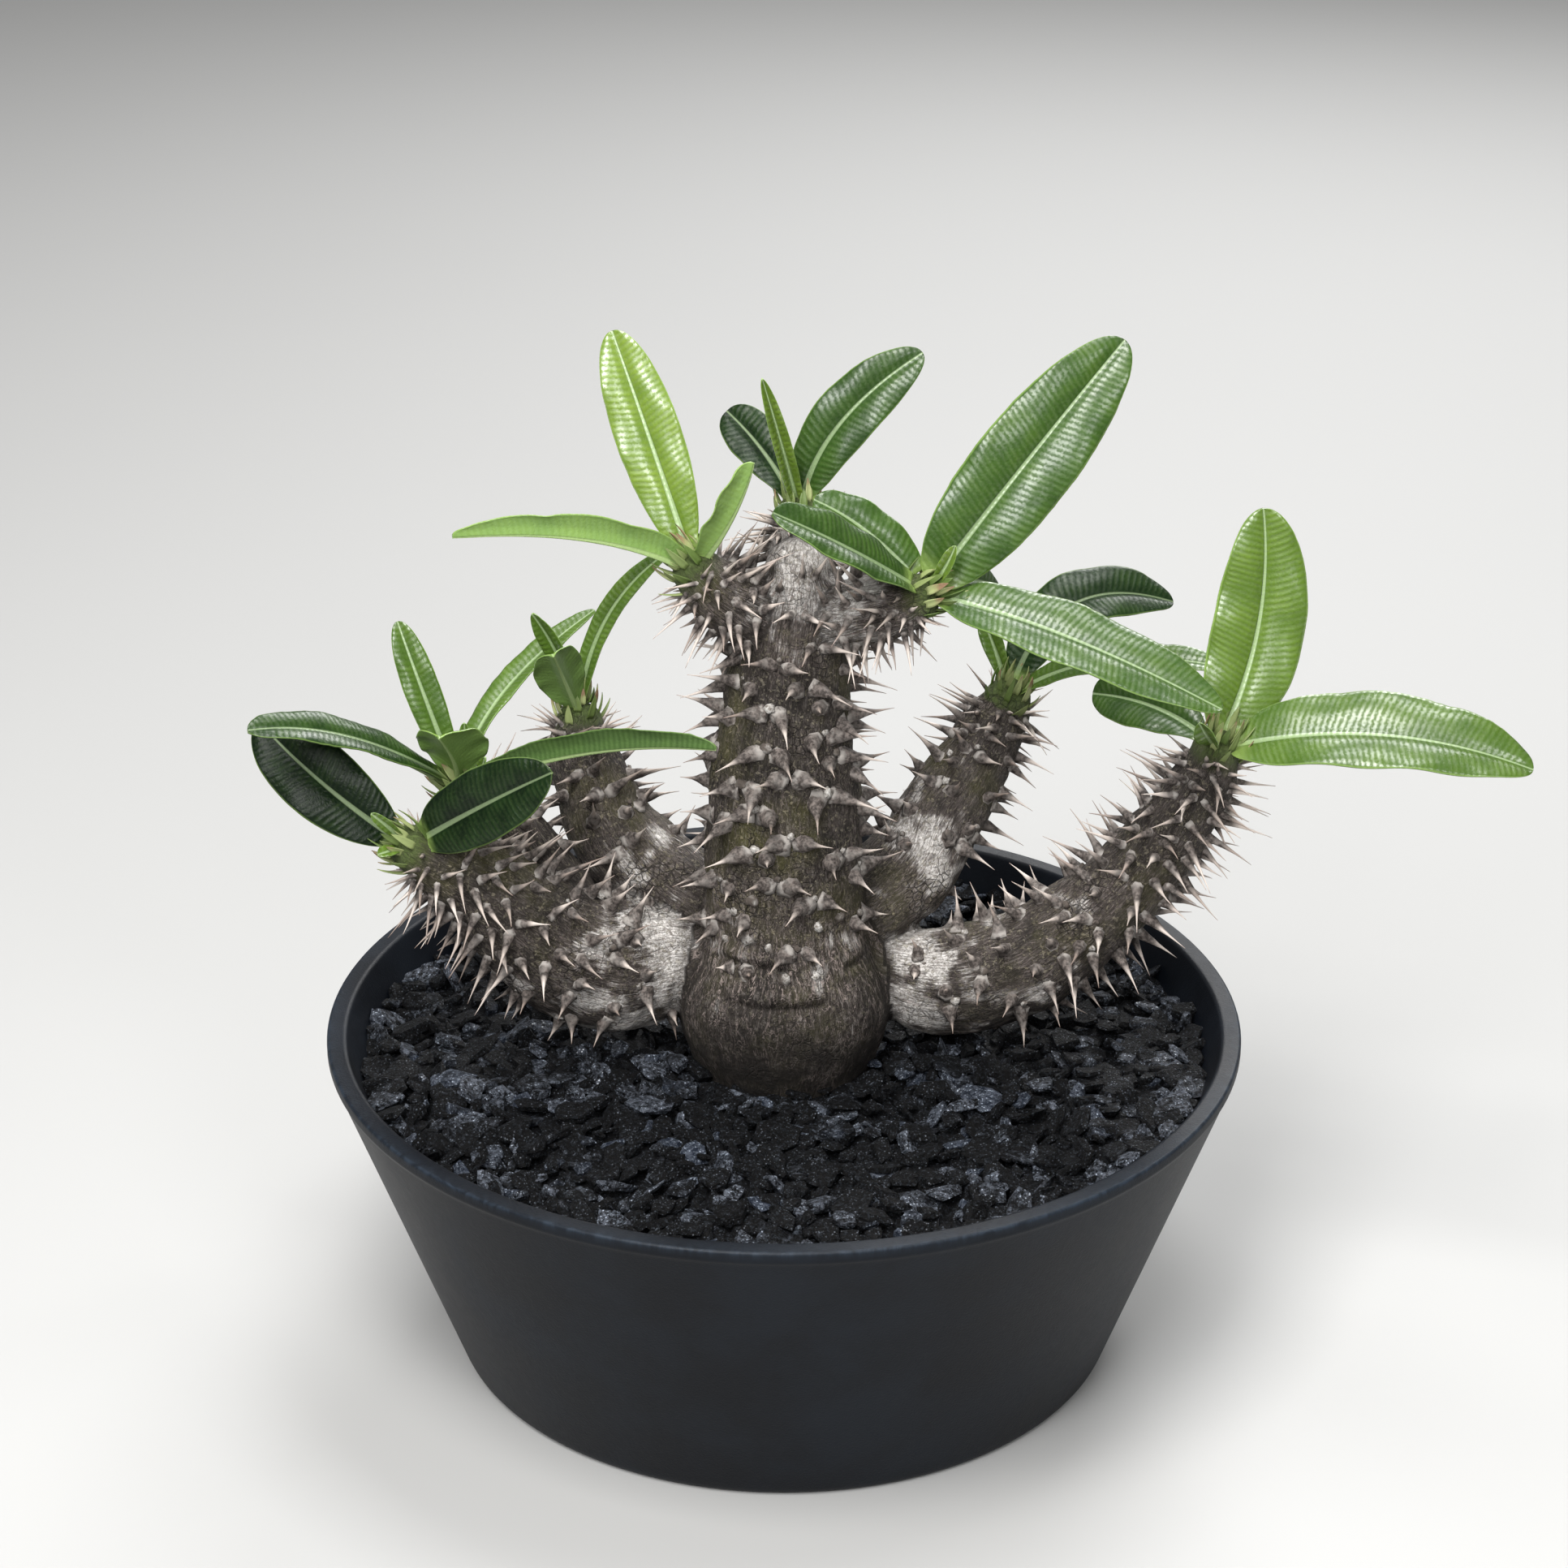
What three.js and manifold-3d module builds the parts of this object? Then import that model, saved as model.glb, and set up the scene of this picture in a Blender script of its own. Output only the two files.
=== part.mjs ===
// Potted Pachypodium makayense, in millimetres, +Z up.
// The origin is the centre of the pot's base, and the plant shows its front to -Y.
import * as THREE from "three";
import { mergeVertices } from "three/addons/utils/BufferGeometryUtils.js";
import Module from "manifold-3d";

const wasm = await Module();
wasm.setup();

// Driving dimensions
const rimRadius = 90;
const potHeight = 68;
const baseRadius = 66;
const lipWidth = 3.8;
const lipRounding = 0.8;
const lipDepth = 3;
const lipOverhang = 0.6;
const footBevel = 2;
const floorThickness = 4.5;
const potSides = 48;
const drainHoles = 5;
const drainRadius = 4.5;
const drainCircle = 34;
const drainSides = 10;
const gravelBelowRim = 6;
const gap = 0.3;

const gravelTop = potHeight - gravelBelowRim;
const golden = Math.PI * (3 - Math.sqrt(5));
const fullTurn = 2 * Math.PI;

// Seeded random numbers from 0 to 1
function seeded(seed) {
  let state = seed;
  return () => {
    state = (state + 0x6d2b79f5) | 0;
    let mixed = Math.imul(state ^ (state >>> 15), 1 | state);
    mixed = (mixed + Math.imul(mixed ^ (mixed >>> 7), 61 | mixed)) ^ mixed;
    return ((mixed ^ (mixed >>> 14)) >>> 0) / 4294967296;
  };
}

const between = (random, [low, high]) => low + (high - low) * random();
const vector = (point) => new THREE.Vector3(point[0], point[1], point[2]);

// A closed solid from points and triangles
function solidFrom(points, triangles) {
  const vertProperties = new Float32Array(points.flatMap((p) => [p.x, p.y, p.z]));
  return new wasm.Manifold(
    new wasm.Mesh({ numProp: 3, vertProperties, triVerts: new Uint32Array(triangles.flat()) }),
  );
}

// A closed solid from a geometry, whose doubled vertices are merged first
function solidOf(geometry) {
  const bare = geometry.clone();
  bare.deleteAttribute("normal");
  bare.deleteAttribute("uv");
  const merged = mergeVertices(bare, 1e-4);
  return new wasm.Manifold(
    new wasm.Mesh({
      numProp: 3,
      vertProperties: new Float32Array(merged.attributes.position.array),
      triVerts: new Uint32Array(merged.index.array),
    }),
  );
}

// Union by halves, which keeps each step small
function joinAll(solids) {
  let round = solids;
  while (round.length > 1) {
    const next = [];
    for (let i = 0; i < round.length; i += 2) {
      next.push(i + 1 < round.length ? round[i].add(round[i + 1]) : round[i]);
    }
    round = next;
  }
  return round[0];
}

// The largest body of a solid, so that a cut leaves no loose scrap
function largest(solid) {
  return solid.decompose().sort((a, b) => b.volume() - a.volume())[0];
}

function meshFrom(name, solid, material) {
  const made = solid.getMesh();
  const geometry = new THREE.BufferGeometry();
  geometry.setAttribute("position", new THREE.BufferAttribute(made.vertProperties, 3));
  geometry.setIndex(new THREE.BufferAttribute(made.triVerts, 1));
  geometry.computeVertexNormals();
  const mesh = new THREE.Mesh(geometry, material);
  mesh.name = name;
  return mesh;
}

function revolve(profile, sides) {
  const points = profile.map(([radius, height]) => new THREE.Vector2(radius, height));
  return solidOf(new THREE.LatheGeometry(points, sides).rotateX(Math.PI / 2));
}

// Pot: a plain tapered bowl with a broad flat lip and drain holes round a solid centre
const innerRim = rimRadius - lipWidth;
const innerBase = baseRadius - lipWidth;
const innerRadiusAt = (height) =>
  THREE.MathUtils.mapLinear(height, floorThickness, potHeight, innerBase, innerRim);

function makePot() {
  const wall = revolve(
    [
      [0, 0],
      [baseRadius - footBevel, 0],
      [baseRadius, footBevel],
      [rimRadius - lipOverhang, potHeight - lipDepth],
      [rimRadius, potHeight - lipRounding],
      [rimRadius - lipRounding, potHeight],
      [innerRim + lipRounding, potHeight],
      [innerRim, potHeight - lipRounding],
      [innerRadiusAt(potHeight - lipDepth), potHeight - lipDepth],
      [innerBase, floorThickness],
      [0, floorThickness],
    ],
    potSides,
  );
  const holes = [];
  for (let k = 0; k < drainHoles; k++) {
    const angle = (fullTurn * k) / drainHoles;
    const depth = 3 * floorThickness;
    const hole = new THREE.CylinderGeometry(drainRadius, drainRadius, depth, drainSides);
    hole.rotateX(Math.PI / 2);
    hole.translate(drainCircle * Math.cos(angle), drainCircle * Math.sin(angle), 0);
    holes.push(solidOf(hole));
  }
  return wall.subtract(joinAll(holes));
}

// Stem: each limb is a path of [x, y, z, radius], swept and closed by a dome at its tip.
// Under the gravel the trunk goes on as a plain round stub.
const limbs = {
  trunk: {
    sides: 14,
    rings: 17,
    path: [
      [0, 0, 44, 11],
      [0, 0, 54, 15.5],
      [0, 0, 62, 19],
      [0, 0, 68, 21],
      [0, 0, 74, 21.6],
      [0, 0, 79, 20.2],
      [0, 0, 84, 18],
      [0, 0, 92, 16],
      [0, 0, 104, 15.3],
      [0, 0, 116, 14.6],
      [0, 0, 130, 12.7],
      [1, 0, 142, 11.6],
      [2, 0, 150, 11],
      [3, 1, 157, 9.2],
      [3, 2, 161, 7],
    ],
  },
  crownLeft: {
    sides: 9,
    rings: 5,
    path: [
      [0, 0, 150, 8.5],
      [-8, -2, 156, 7.6],
      [-13, -4, 160, 6.2],
      [-16, -4, 163, 4.8],
    ],
  },
  crownBack: {
    sides: 9,
    rings: 5,
    path: [
      [3, 2, 155, 8],
      [3, 6, 161, 6.8],
      [3, 8, 165, 5.8],
      [3, 10, 168.5, 4.6],
    ],
  },
  crownRight: {
    sides: 9,
    rings: 5,
    path: [
      [4, -1, 152, 8],
      [13, -4, 155, 6.8],
      [21, -7, 158, 6],
      [25, -8, 160, 4.6],
    ],
  },
  frontLeft: {
    sides: 11,
    rings: 10,
    path: [
      [-8, 2.5, 80, 10.5],
      [-21, 3.5, 79, 11.6],
      [-33, 1.5, 79.2, 13.8],
      [-43, -2, 84, 13],
      [-51, -5, 92, 11.2],
      [-59, -8, 101, 9],
      [-65, -11, 106, 7],
      [-70, -12, 109.5, 4.8],
    ],
  },
  left: {
    sides: 9,
    rings: 6,
    path: [
      [-42, 2, 86, 10],
      [-50, 6, 96, 9],
      [-56.5, 9, 105, 7.4],
      [-60, 9, 109.5, 6.2],
      [-62.5, 9, 112.5, 4.8],
    ],
  },
  backLeft: {
    sides: 10,
    rings: 8,
    path: [
      [-12, 6, 86, 9.5],
      [-26, 15, 92, 9.6],
      [-35, 21, 100, 8.8],
      [-39, 26, 109, 7.6],
      [-41, 29, 114.5, 6.2],
      [-41, 30, 118, 4.8],
    ],
  },
  right: {
    sides: 10,
    rings: 11,
    path: [
      [8, 2.5, 79, 9],
      [21, 3, 75.6, 9.2],
      [33, 1, 75.3, 10.8],
      [46, -1, 80, 10.4],
      [58, -2, 89, 9.2],
      [68, -3, 100, 8],
      [76, -4, 113, 7],
      [80.5, -4, 122, 5.8],
      [82, -4, 126, 4.6],
    ],
  },
  backRight: {
    sides: 10,
    rings: 8,
    path: [
      [12, 5, 86, 9.5],
      [25, 14, 94, 9.6],
      [32, 21, 103, 8.6],
      [39, 28, 112, 7.4],
      [43.5, 32, 118.5, 6],
      [44.5, 32, 121.5, 4.8],
    ],
  },
};

const smooth = (points) => new THREE.CatmullRomCurve3(points, false, "catmullrom", 0.5);

// The centre, radius and direction of a limb at a share from its foot to its tip
function along(limb, share) {
  const centre = smooth(limb.path.map(vector));
  const radius = smooth(limb.path.map((p) => new THREE.Vector3(p[3], 0, 0)));
  return {
    centre: centre.getPoint(share),
    radius: radius.getPoint(share).x,
    direction: centre.getTangent(share),
  };
}

// Two directions square to a limb, turned round it by the same rule at every point
function across(direction) {
  const away = new THREE.Vector3(0, 1, 0).addScaledVector(direction, -direction.y).normalize();
  return [away, new THREE.Vector3().crossVectors(direction, away)];
}

function ring(centre, direction, radius, sides) {
  const [first, second] = across(direction);
  return Array.from({ length: sides }, (_, k) => {
    const angle = (fullTurn * k) / sides;
    return centre
      .clone()
      .addScaledVector(first, radius * Math.cos(angle))
      .addScaledVector(second, radius * Math.sin(angle));
  });
}

// The dome at a tip has one ring, this share of the radius out and up
const domeReach = 0.8;
const domeRise = 0.6;

// A limb as a closed solid, grown outwards by extra
function sweepLimb(limb, extra) {
  const { sides, rings } = limb;
  const points = [];
  for (let i = 0; i < rings; i++) {
    const { centre, radius, direction } = along(limb, i / (rings - 1));
    points.push(...ring(centre, direction, radius + extra, sides));
  }
  const tip = along(limb, 1);
  const tipRadius = tip.radius + extra;
  const shoulder = tip.centre.clone().addScaledVector(tip.direction, domeRise * tipRadius);
  points.push(...ring(shoulder, tip.direction, domeReach * tipRadius, sides));
  const foot = points.length;
  points.push(along(limb, 0).centre);
  points.push(tip.centre.clone().addScaledVector(tip.direction, tipRadius));
  const triangles = [];
  for (let i = 0; i < rings; i++) {
    for (let k = 0; k < sides; k++) {
      const a = i * sides + k;
      const b = i * sides + ((k + 1) % sides);
      triangles.push([a, b, b + sides], [a, b + sides, a + sides]);
    }
  }
  for (let k = 0; k < sides; k++) {
    const next = (k + 1) % sides;
    triangles.push([foot, next, k]);
    triangles.push([foot + 1, rings * sides + k, rings * sides + next]);
  }
  return solidFrom(points, triangles);
}

// Leaves: one row each, with the limb that bears it, the point that its midrib bends towards, its tip,
// its width, the way that its upper face looks, how far it is folded, in degrees, and where it is widest.
const leafRows = [
  ["leaf_crown_left_tall", "crownLeft", [-24.5, 4, 185.5], [-32, 12, 205], 12.7, [0, -1, 0.3], 12, 0.54],
  ["leaf_crown_left_arched", "crownLeft", [-34, -13, 176.5], [-60.5, -16, 175], 9, [0, 0.9, 0.9], 38, 0.42],
  ["leaf_crown_left_young", "crownLeft", [-8.5, -11, 178], [-6, -10, 187], 9, [-0.7, 0.3, 0.5], 38, 0.5],
  ["leaf_crown_back_spear", "crownBack", [-0.7, 5, 186.5], [-4, 3, 198.5], 5.6, [0.1, -1, 0.2], 52, 0.45],
  ["leaf_crown_back_light", "crownBack", [6.5, 11, 188], [26, 16, 199.5], 12, [-0.3, -1, 0.3], 10, 0.55],
  ["leaf_crown_back_dark", "crownBack", [-3.5, 20, 179.5], [-11, 27, 184.3], 10.5, [0.3, -1, 0.4], 15, 0.62],
  ["leaf_crown_right_tall", "crownRight", [44, -4, 184.5], [63, 8, 204.5], 18.7, [0, -1, 0.4], 10, 0.47],
  ["leaf_crown_right_low", "crownRight", [11, -20, 175], [-2, -22, 181.5], 12, [0.1, -0.5, 1], 15, 0.5],
  ["leaf_crown_right_upper", "crownRight", [15, -6, 174], [5.5, -4, 177.5], 11, [0.2, -0.7, 0.8], 15, 0.42],
  ["leaf_crown_right_front", "crownRight", [50, -18, 159], [80, -28, 145.5], 15, [0.2, -0.6, 1], 12, 0.52],
  ["leaf_crown_right_bud", "crownRight", [30, -11, 166.5], [31.5, -11, 171], 3.5, [-0.5, -1, 0], 40, 0.6],
  ["leaf_crown_right_shaded", "crownRight", [35, 0, 161.5], [41, 8, 155.5], 7.5, [0, -0.8, 0.8], 15, 0.55],
  ["leaf_back_right_high", "backRight", [54, 41, 147.5], [78.5, 46, 137.5], 14, [0, -0.6, 1], 12, 0.55],
  ["leaf_back_right_bud", "backRight", [42, 36, 132.5], [39.5, 38, 137.5], 5, [0, -1, 0.2], 30, 0.6],
  ["leaf_back_right_long", "backRight", [63, 27, 137], [87.5, 18, 134.5], 8, [0, -0.4, 1], 15, 0.55],
  ["leaf_right_tall", "right", [93.5, 6, 149], [90.5, 9, 171], 18, [0, -1, 0.3], 10, 0.46],
  ["leaf_right_long", "right", [113, -13, 138.5], [140, -18, 129], 18.5, [0, -0.5, 0.87], 15, 0.46],
  ["leaf_right_shaded", "right", [72, 7, 133], [60, 14, 131], 12, [0.1, -0.8, 0.6], 15, 0.6],
  ["leaf_right_bud", "right", [80, -11, 132], [78, -11, 135.5], 5, [-0.5, -1, 0.3], 35, 0.6],
  ["leaf_left_tall", "left", [-70, 12, 131.5], [-75, 18, 144.5], 7.2, [0.2, -1, 0.3], 14, 0.55],
  ["leaf_left_arched", "left", [-59.5, 28, 126.5], [-38, 43, 137], 7, [-0.6, -0.7, 0.4], 20, 0.5],
  ["leaf_left_fold", "left", [-63, 3.5, 122.2], [-65.5, -4.5, 130], 15.5, [0, 0.7, 0.7], 28, 0.57],
  ["leaf_left_far", "left", [-83, -10, 136.6], [-99.5, -19, 137.5], 10, [0, -0.4, 1], 12, 0.55],
  ["leaf_left_near", "left", [-36.5, -6, 131.2], [-12.5, -20, 134.5], 8.5, [0, 0.9, 1], 40, 0.5],
  ["leaf_left_bud", "left", [-61.8, 7.5, 122.5], [-61.8, 7.5, 127.5], 2.8, [0, -1, 0.2], 30, 0.6],
  ["leaf_left_small", "left", [-58.5, -1, 119], [-57.2, -2, 124.5], 3, [-0.3, -0.8, 0.6], 35, 0.6],
  ["leaf_front_left_far", "frontLeft", [-88, -11, 122], [-100, -2, 132], 14.8, [0.2, -1, 0.5], 8, 0.55],
  ["leaf_front_left_near", "frontLeft", [-56.5, -20, 123], [-43, -26, 132], 14.3, [-0.1, -0.9, 0.5], 10, 0.5],
  ["leaf_front_left_bud", "frontLeft", [-74, -17, 116.5], [-77.5, -18, 120], 2.6, [0, -1, 0.2], 20, 0.6],
  ["leaf_front_left_bract", "frontLeft", [-74, -17, 112], [-76.5, -19, 112], 3, [0, -0.6, 1], 20, 0.6],
  ["leaf_back_left_small", "backLeft", [-44, 30, 133], [-49.5, 28, 142], 4.8, [-0.3, -1, 0.2], 22, 0.55],
  ["leaf_back_left_wide", "backLeft", [-43.5, 24, 130], [-45, 17, 138], 11.5, [-0.5, 0.7, 0.7], 28, 0.55],
  ["leaf_back_left_long", "backLeft", [-38, 34, 142], [-22.5, 33, 153.5], 5.2, [-0.5, -0.8, 0.2], 22, 0.5],
];

const bladeThickness = 0.65;
const midribThickness = 1.1;
const petioleWidth = 1.9;
const tipWidth = 1.4;
const tipFullness = 0.55;
const wavesPerLeaf = 3.2;
const waveHeight = 0.035;
const seatRise = 0.35;
const seatGap = 0.4;
const smallLeafWidth = 8;
const smallLeafSteps = 6;
const broadLeafSteps = 10;

// Half width as a share of the leaf's own: narrow at the foot, widest where its row says, round at the tip
function outline(t, widest) {
  const footFullness = (tipFullness * widest) / (1 - widest);
  const fullness = (u) => u ** footFullness * (1 - u) ** tipFullness;
  return fullness(t) / fullness(widest);
}

// A leaf's upper and under surface at t from foot to tip and side from -1 to 1 across it
function leafShape([, bearer, bend, tip, width, face, fold, widest]) {
  const end = along(limbs[bearer], 1);
  const bendPoint = vector(bend);
  const out = bendPoint.clone().sub(end.centre).normalize();
  const seatAim = out.clone().addScaledVector(end.direction, seatRise).normalize();
  const seat = end.centre.clone().addScaledVector(seatAim, end.radius + seatGap);
  const midrib = new THREE.QuadraticBezierCurve3(seat, bendPoint, vector(tip));
  const foldAngle = THREE.MathUtils.degToRad(fold);
  const upward = vector(face);
  return (t, side) => {
    const direction = midrib.getTangent(t);
    const acrossBlade = new THREE.Vector3().crossVectors(direction, upward).normalize();
    const normal = new THREE.Vector3().crossVectors(acrossBlade, direction);
    const least = t < 0.5 ? petioleWidth / 2 : tipWidth / 2;
    const half = Math.max(least, (width / 2) * outline(t, widest));
    const wave = width * waveHeight * Math.sin(fullTurn * wavesPerLeaf * t + 2 * side);
    const rise = half * Math.abs(side) * Math.sin(foldAngle) + side * side * wave;
    const top = midrib
      .getPoint(t)
      .addScaledVector(acrossBlade, half * side * Math.cos(foldAngle))
      .addScaledVector(normal, rise);
    const thickness = side === 0 ? midribThickness : bladeThickness / Math.cos(foldAngle);
    return { top, bottom: top.clone().addScaledVector(normal, -thickness) };
  };
}

function makeLeaf(row) {
  const shape = leafShape(row);
  const steps = row[4] > smallLeafWidth ? broadLeafSteps : smallLeafSteps;
  const columns = [-1, 0, 1];
  const points = [];
  for (let i = 0; i <= steps; i++) {
    const grid = columns.map((side) => shape(i / steps, side));
    points.push(...grid.map((p) => p.top), ...grid.map((p) => p.bottom));
  }
  // Each station holds three points above and three below, and neighbours are joined all round
  const around = [0, 1, 2, 5, 4, 3];
  const triangles = [];
  for (let i = 0; i < steps; i++) {
    for (let k = 0; k < around.length; k++) {
      const a = 6 * i + around[k];
      const b = 6 * i + around[(k + 1) % around.length];
      // Both faces are split along the same diagonals, so they stay parallel
      if (k < 3) triangles.push([a, a + 6, b], [b, a + 6, b + 6]);
      else triangles.push([a, a + 6, b + 6], [a, b + 6, b]);
    }
  }
  const last = 6 * steps;
  triangles.push([0, 1, 3], [1, 4, 3], [1, 2, 4], [2, 5, 4]);
  triangles.push([last, last + 3, last + 1], [last + 1, last + 3, last + 4]);
  triangles.push([last + 1, last + 4, last + 2], [last + 2, last + 4, last + 5]);
  const solid = solidFrom(points, triangles);
  return solid.volume() > 0 ? solid : solidFrom(points, triangles.map(([a, b, c]) => [a, c, b]));
}

// Spines: in pairs at leaf scars, which climb each limb in a spiral of golden angles
const scarArea = 116;
const pairHalfGap = 1.5;
const spineLengths = [7.2, 9.9];
const spineFoot = 1.5;
const spineRoot = 1.4;
const spineSpread = [0.25, 0.59];
const spineLean = [-0.175, 0.325];
const spineToLeaf = 2.8;
const spineToGravel = 4;
const bareFoot = { trunk: 0.28, crownLeft: 0.3, crownBack: 0.35, crownRight: 0.35 };
const bareBranchFoot = 0.12;

// Points over every leaf, that spines keep clear of
const leafSamples = 16;
const leafPoints = leafRows.flatMap((row) => {
  const shape = leafShape(row);
  const points = [];
  for (let i = 0; i <= leafSamples; i++) {
    for (const side of [-1, -0.5, 0, 0.5, 1]) points.push(shape(i / leafSamples, side).top);
  }
  return points;
});

// True where a point lies inside a limb other than its own
const limbSamples = 24;
function insideAnother(point, own) {
  return Object.entries(limbs).some(([name, limb]) => {
    if (name === own) return false;
    for (let i = 0; i <= limbSamples; i++) {
      const { centre, radius } = along(limb, i / limbSamples);
      if (centre.distanceTo(point) < radius) return true;
    }
    return false;
  });
}

function spinesOf(name, limb, random) {
  const spines = [];
  const length = smooth(limb.path.map(vector)).getLength();
  let share = bareFoot[name] ?? bareBranchFoot;
  let turn = 0;
  while (share < 1) {
    const { centre, radius, direction } = along(limb, share);
    const [first, second] = across(direction);
    for (const side of [-1, 1]) {
      const angle = turn + side * (pairHalfGap / radius);
      const out = first
        .clone()
        .multiplyScalar(Math.cos(angle))
        .addScaledVector(second, Math.sin(angle));
      const sideways = new THREE.Vector3().crossVectors(direction, out);
      const aim = out
        .clone()
        .addScaledVector(sideways, side * between(random, spineSpread))
        .addScaledVector(direction, between(random, spineLean))
        .normalize();
      const foot = centre.clone().addScaledVector(out, radius);
      const size = between(random, spineLengths);
      const tip = foot.clone().addScaledVector(aim, size);
      const middle = foot.clone().addScaledVector(aim, size / 2);
      const blocked =
        insideAnother(foot, name) ||
        insideAnother(tip, name) ||
        tip.z < gravelTop + spineToGravel ||
        leafPoints.some((p) => [foot, middle, tip].some((q) => p.distanceTo(q) < spineToLeaf));
      if (!blocked) spines.push(pyramid(foot, aim, tip));
    }
    turn += golden;
    share += scarArea / (fullTurn * radius * length);
  }
  return spines;
}

// A three-sided spine, with its root sunk into the bark
function pyramid(foot, aim, tip) {
  const root = foot.clone().addScaledVector(aim, -spineRoot);
  const points = ring(root, aim, spineFoot, 3);
  points.push(tip);
  return solidFrom(points, [
    [0, 2, 1],
    [0, 1, 3],
    [1, 2, 3],
    [2, 0, 3],
  ]);
}

function makeStem() {
  const random = seeded(7);
  const parts = [];
  for (const [name, limb] of Object.entries(limbs)) {
    parts.push(sweepLimb(limb, 0));
    parts.push(...spinesOf(name, limb, random));
  }
  return largest(joinAll(parts));
}

// Gravel: a bed whose top is broken into flat facets, with flat chips lying on it
const facetRings = 8;
const facetShift = [-0.25, 0.25];
const facetRelief = [-1.44, 0.96];
const edgeDepth = 1;
const chipCount = 112;
const chipCorners = 4;
const chipReach = [4.5, 6.7];
const chipHalfThickness = [1.2, 1.8];
const chipTilt = [-0.25, 0.25];
const chipRaise = 0.2;
const chipWidthShare = 0.8;
const chipSlope = 0.08;
const chipUnevenness = 0.4;
const firstChipRadius = 22;
const lastChipMargin = 8.4;

function makeGravelBed(random) {
  // The pot's flat sides come nearer to its middle than its corners do
  const flatShare = Math.cos(Math.PI / potSides);
  const edge = innerRadiusAt(gravelTop - edgeDepth) * flatShare - gap;
  const low = floorThickness + gap;
  const points = [new THREE.Vector3(0, 0, gravelTop)];
  const first = (r) => (r === 0 ? 0 : 1 + 3 * r * (r - 1));
  for (let r = 1; r <= facetRings; r++) {
    const shift = () => (r < facetRings ? between(random, facetShift) : 0);
    for (let k = 0; k < 6 * r; k++) {
      const radius = (edge * (r + shift())) / facetRings;
      const angle = (fullTurn * (k + shift())) / (6 * r);
      const height = gravelTop + between(random, facetRelief);
      points.push(new THREE.Vector3(radius * Math.cos(angle), radius * Math.sin(angle), height));
    }
  }
  const triangles = [];
  const index = (r, k) => (r === 0 ? 0 : first(r) + (((k % (6 * r)) + 6 * r) % (6 * r)));
  for (let r = 0; r < facetRings; r++) {
    for (let sector = 0; sector < 6; sector++) {
      for (let j = 0; j <= r; j++) {
        const here = index(r, sector * r + j);
        const out = index(r + 1, sector * (r + 1) + j);
        const beside = index(r + 1, sector * (r + 1) + j + 1);
        triangles.push([here, out, beside]);
        if (j < r) triangles.push([here, beside, index(r, sector * r + j + 1)]);
      }
    }
  }
  const rimCount = 6 * facetRings;
  const lowEdge = innerRadiusAt(low) * flatShare - gap;
  const lowStart = points.length;
  for (let k = 0; k < rimCount; k++) {
    const angle = (fullTurn * k) / rimCount;
    points.push(new THREE.Vector3(lowEdge * Math.cos(angle), lowEdge * Math.sin(angle), low));
  }
  const centre = points.length;
  points.push(new THREE.Vector3(0, 0, low));
  for (let k = 0; k < rimCount; k++) {
    const a = index(facetRings, k);
    const b = index(facetRings, k + 1);
    const c = lowStart + k;
    const d = lowStart + ((k + 1) % rimCount);
    triangles.push([a, c, b], [b, c, d], [centre, d, c]);
  }
  return solidFrom(points, triangles);
}

// A flat, broken chip, a little wider below than above
function makeChip(random) {
  const size = between(random, chipReach);
  const half = between(random, chipHalfThickness);
  const points = [];
  for (const level of [-1, 1]) {
    for (let k = 0; k < chipCorners; k++) {
      const angle = (fullTurn * k) / chipCorners;
      const uneven = 1 - chipUnevenness * Math.abs(Math.sin(3 * k + size));
      const reach = size * uneven * (1 - chipSlope * level);
      const [x, y] = [reach * Math.cos(angle), chipWidthShare * reach * Math.sin(angle)];
      points.push(new THREE.Vector3(x, y, level * half));
    }
  }
  const triangles = [];
  for (let k = 0; k < chipCorners; k++) {
    const next = (k + 1) % chipCorners;
    triangles.push([k, next, next + chipCorners], [k, next + chipCorners, k + chipCorners]);
    if (k > 0 && next > 0) {
      triangles.push([0, next, k], [chipCorners, k + chipCorners, next + chipCorners]);
    }
  }
  return { points, triangles };
}

// Chips lie in a spiral of golden angles, which spreads them evenly from the trunk to the wall
function placeChip(k, random) {
  const chip = makeChip(random);
  const lastChipRadius = innerRadiusAt(gravelTop) - lastChipMargin;
  const share = (k + 0.5) / chipCount;
  const radius = Math.sqrt(firstChipRadius ** 2 * (1 - share) + lastChipRadius ** 2 * share);
  const angle = k * golden;
  const turn = new THREE.Euler(
    between(random, chipTilt),
    between(random, chipTilt),
    fullTurn * random(),
  );
  const place = new THREE.Vector3(
    radius * Math.cos(angle),
    radius * Math.sin(angle),
    gravelTop + chipRaise,
  );
  const points = chip.points.map((p) => p.applyEuler(turn).add(place));
  return solidFrom(points, chip.triangles);
}

function makeGravel() {
  const random = seeded(11);
  const parts = [makeGravelBed(random)];
  for (let k = 0; k < chipCount; k++) parts.push(placeChip(k, random));
  // The stem's own hole, and room under its lowest limbs
  const room = joinAll(Object.values(limbs).map((limb) => sweepLimb(limb, gap)));
  return largest(joinAll(parts).subtract(room));
}

// Finishes
const finishes = {
  pot: { color: 0x10141a, roughness: 0.38, metalness: 0 },
  gravel: { color: 0x2b2e35, roughness: 0.72, metalness: 0 },
  stem: { color: 0x6f655a, roughness: 0.78, metalness: 0 },
  leaf: { color: 0x4f8f35, roughness: 0.36, metalness: 0 },
};
const finish = (name) => new THREE.MeshStandardMaterial(finishes[name]);

const plant = new THREE.Group();
plant.add(meshFrom("pot", makePot(), finish("pot")));
plant.add(meshFrom("gravel", makeGravel(), finish("gravel")));
plant.add(meshFrom("stem", makeStem(), finish("stem")));
for (const row of leafRows) plant.add(meshFrom(row[0], makeLeaf(row), finish("leaf")));

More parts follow.
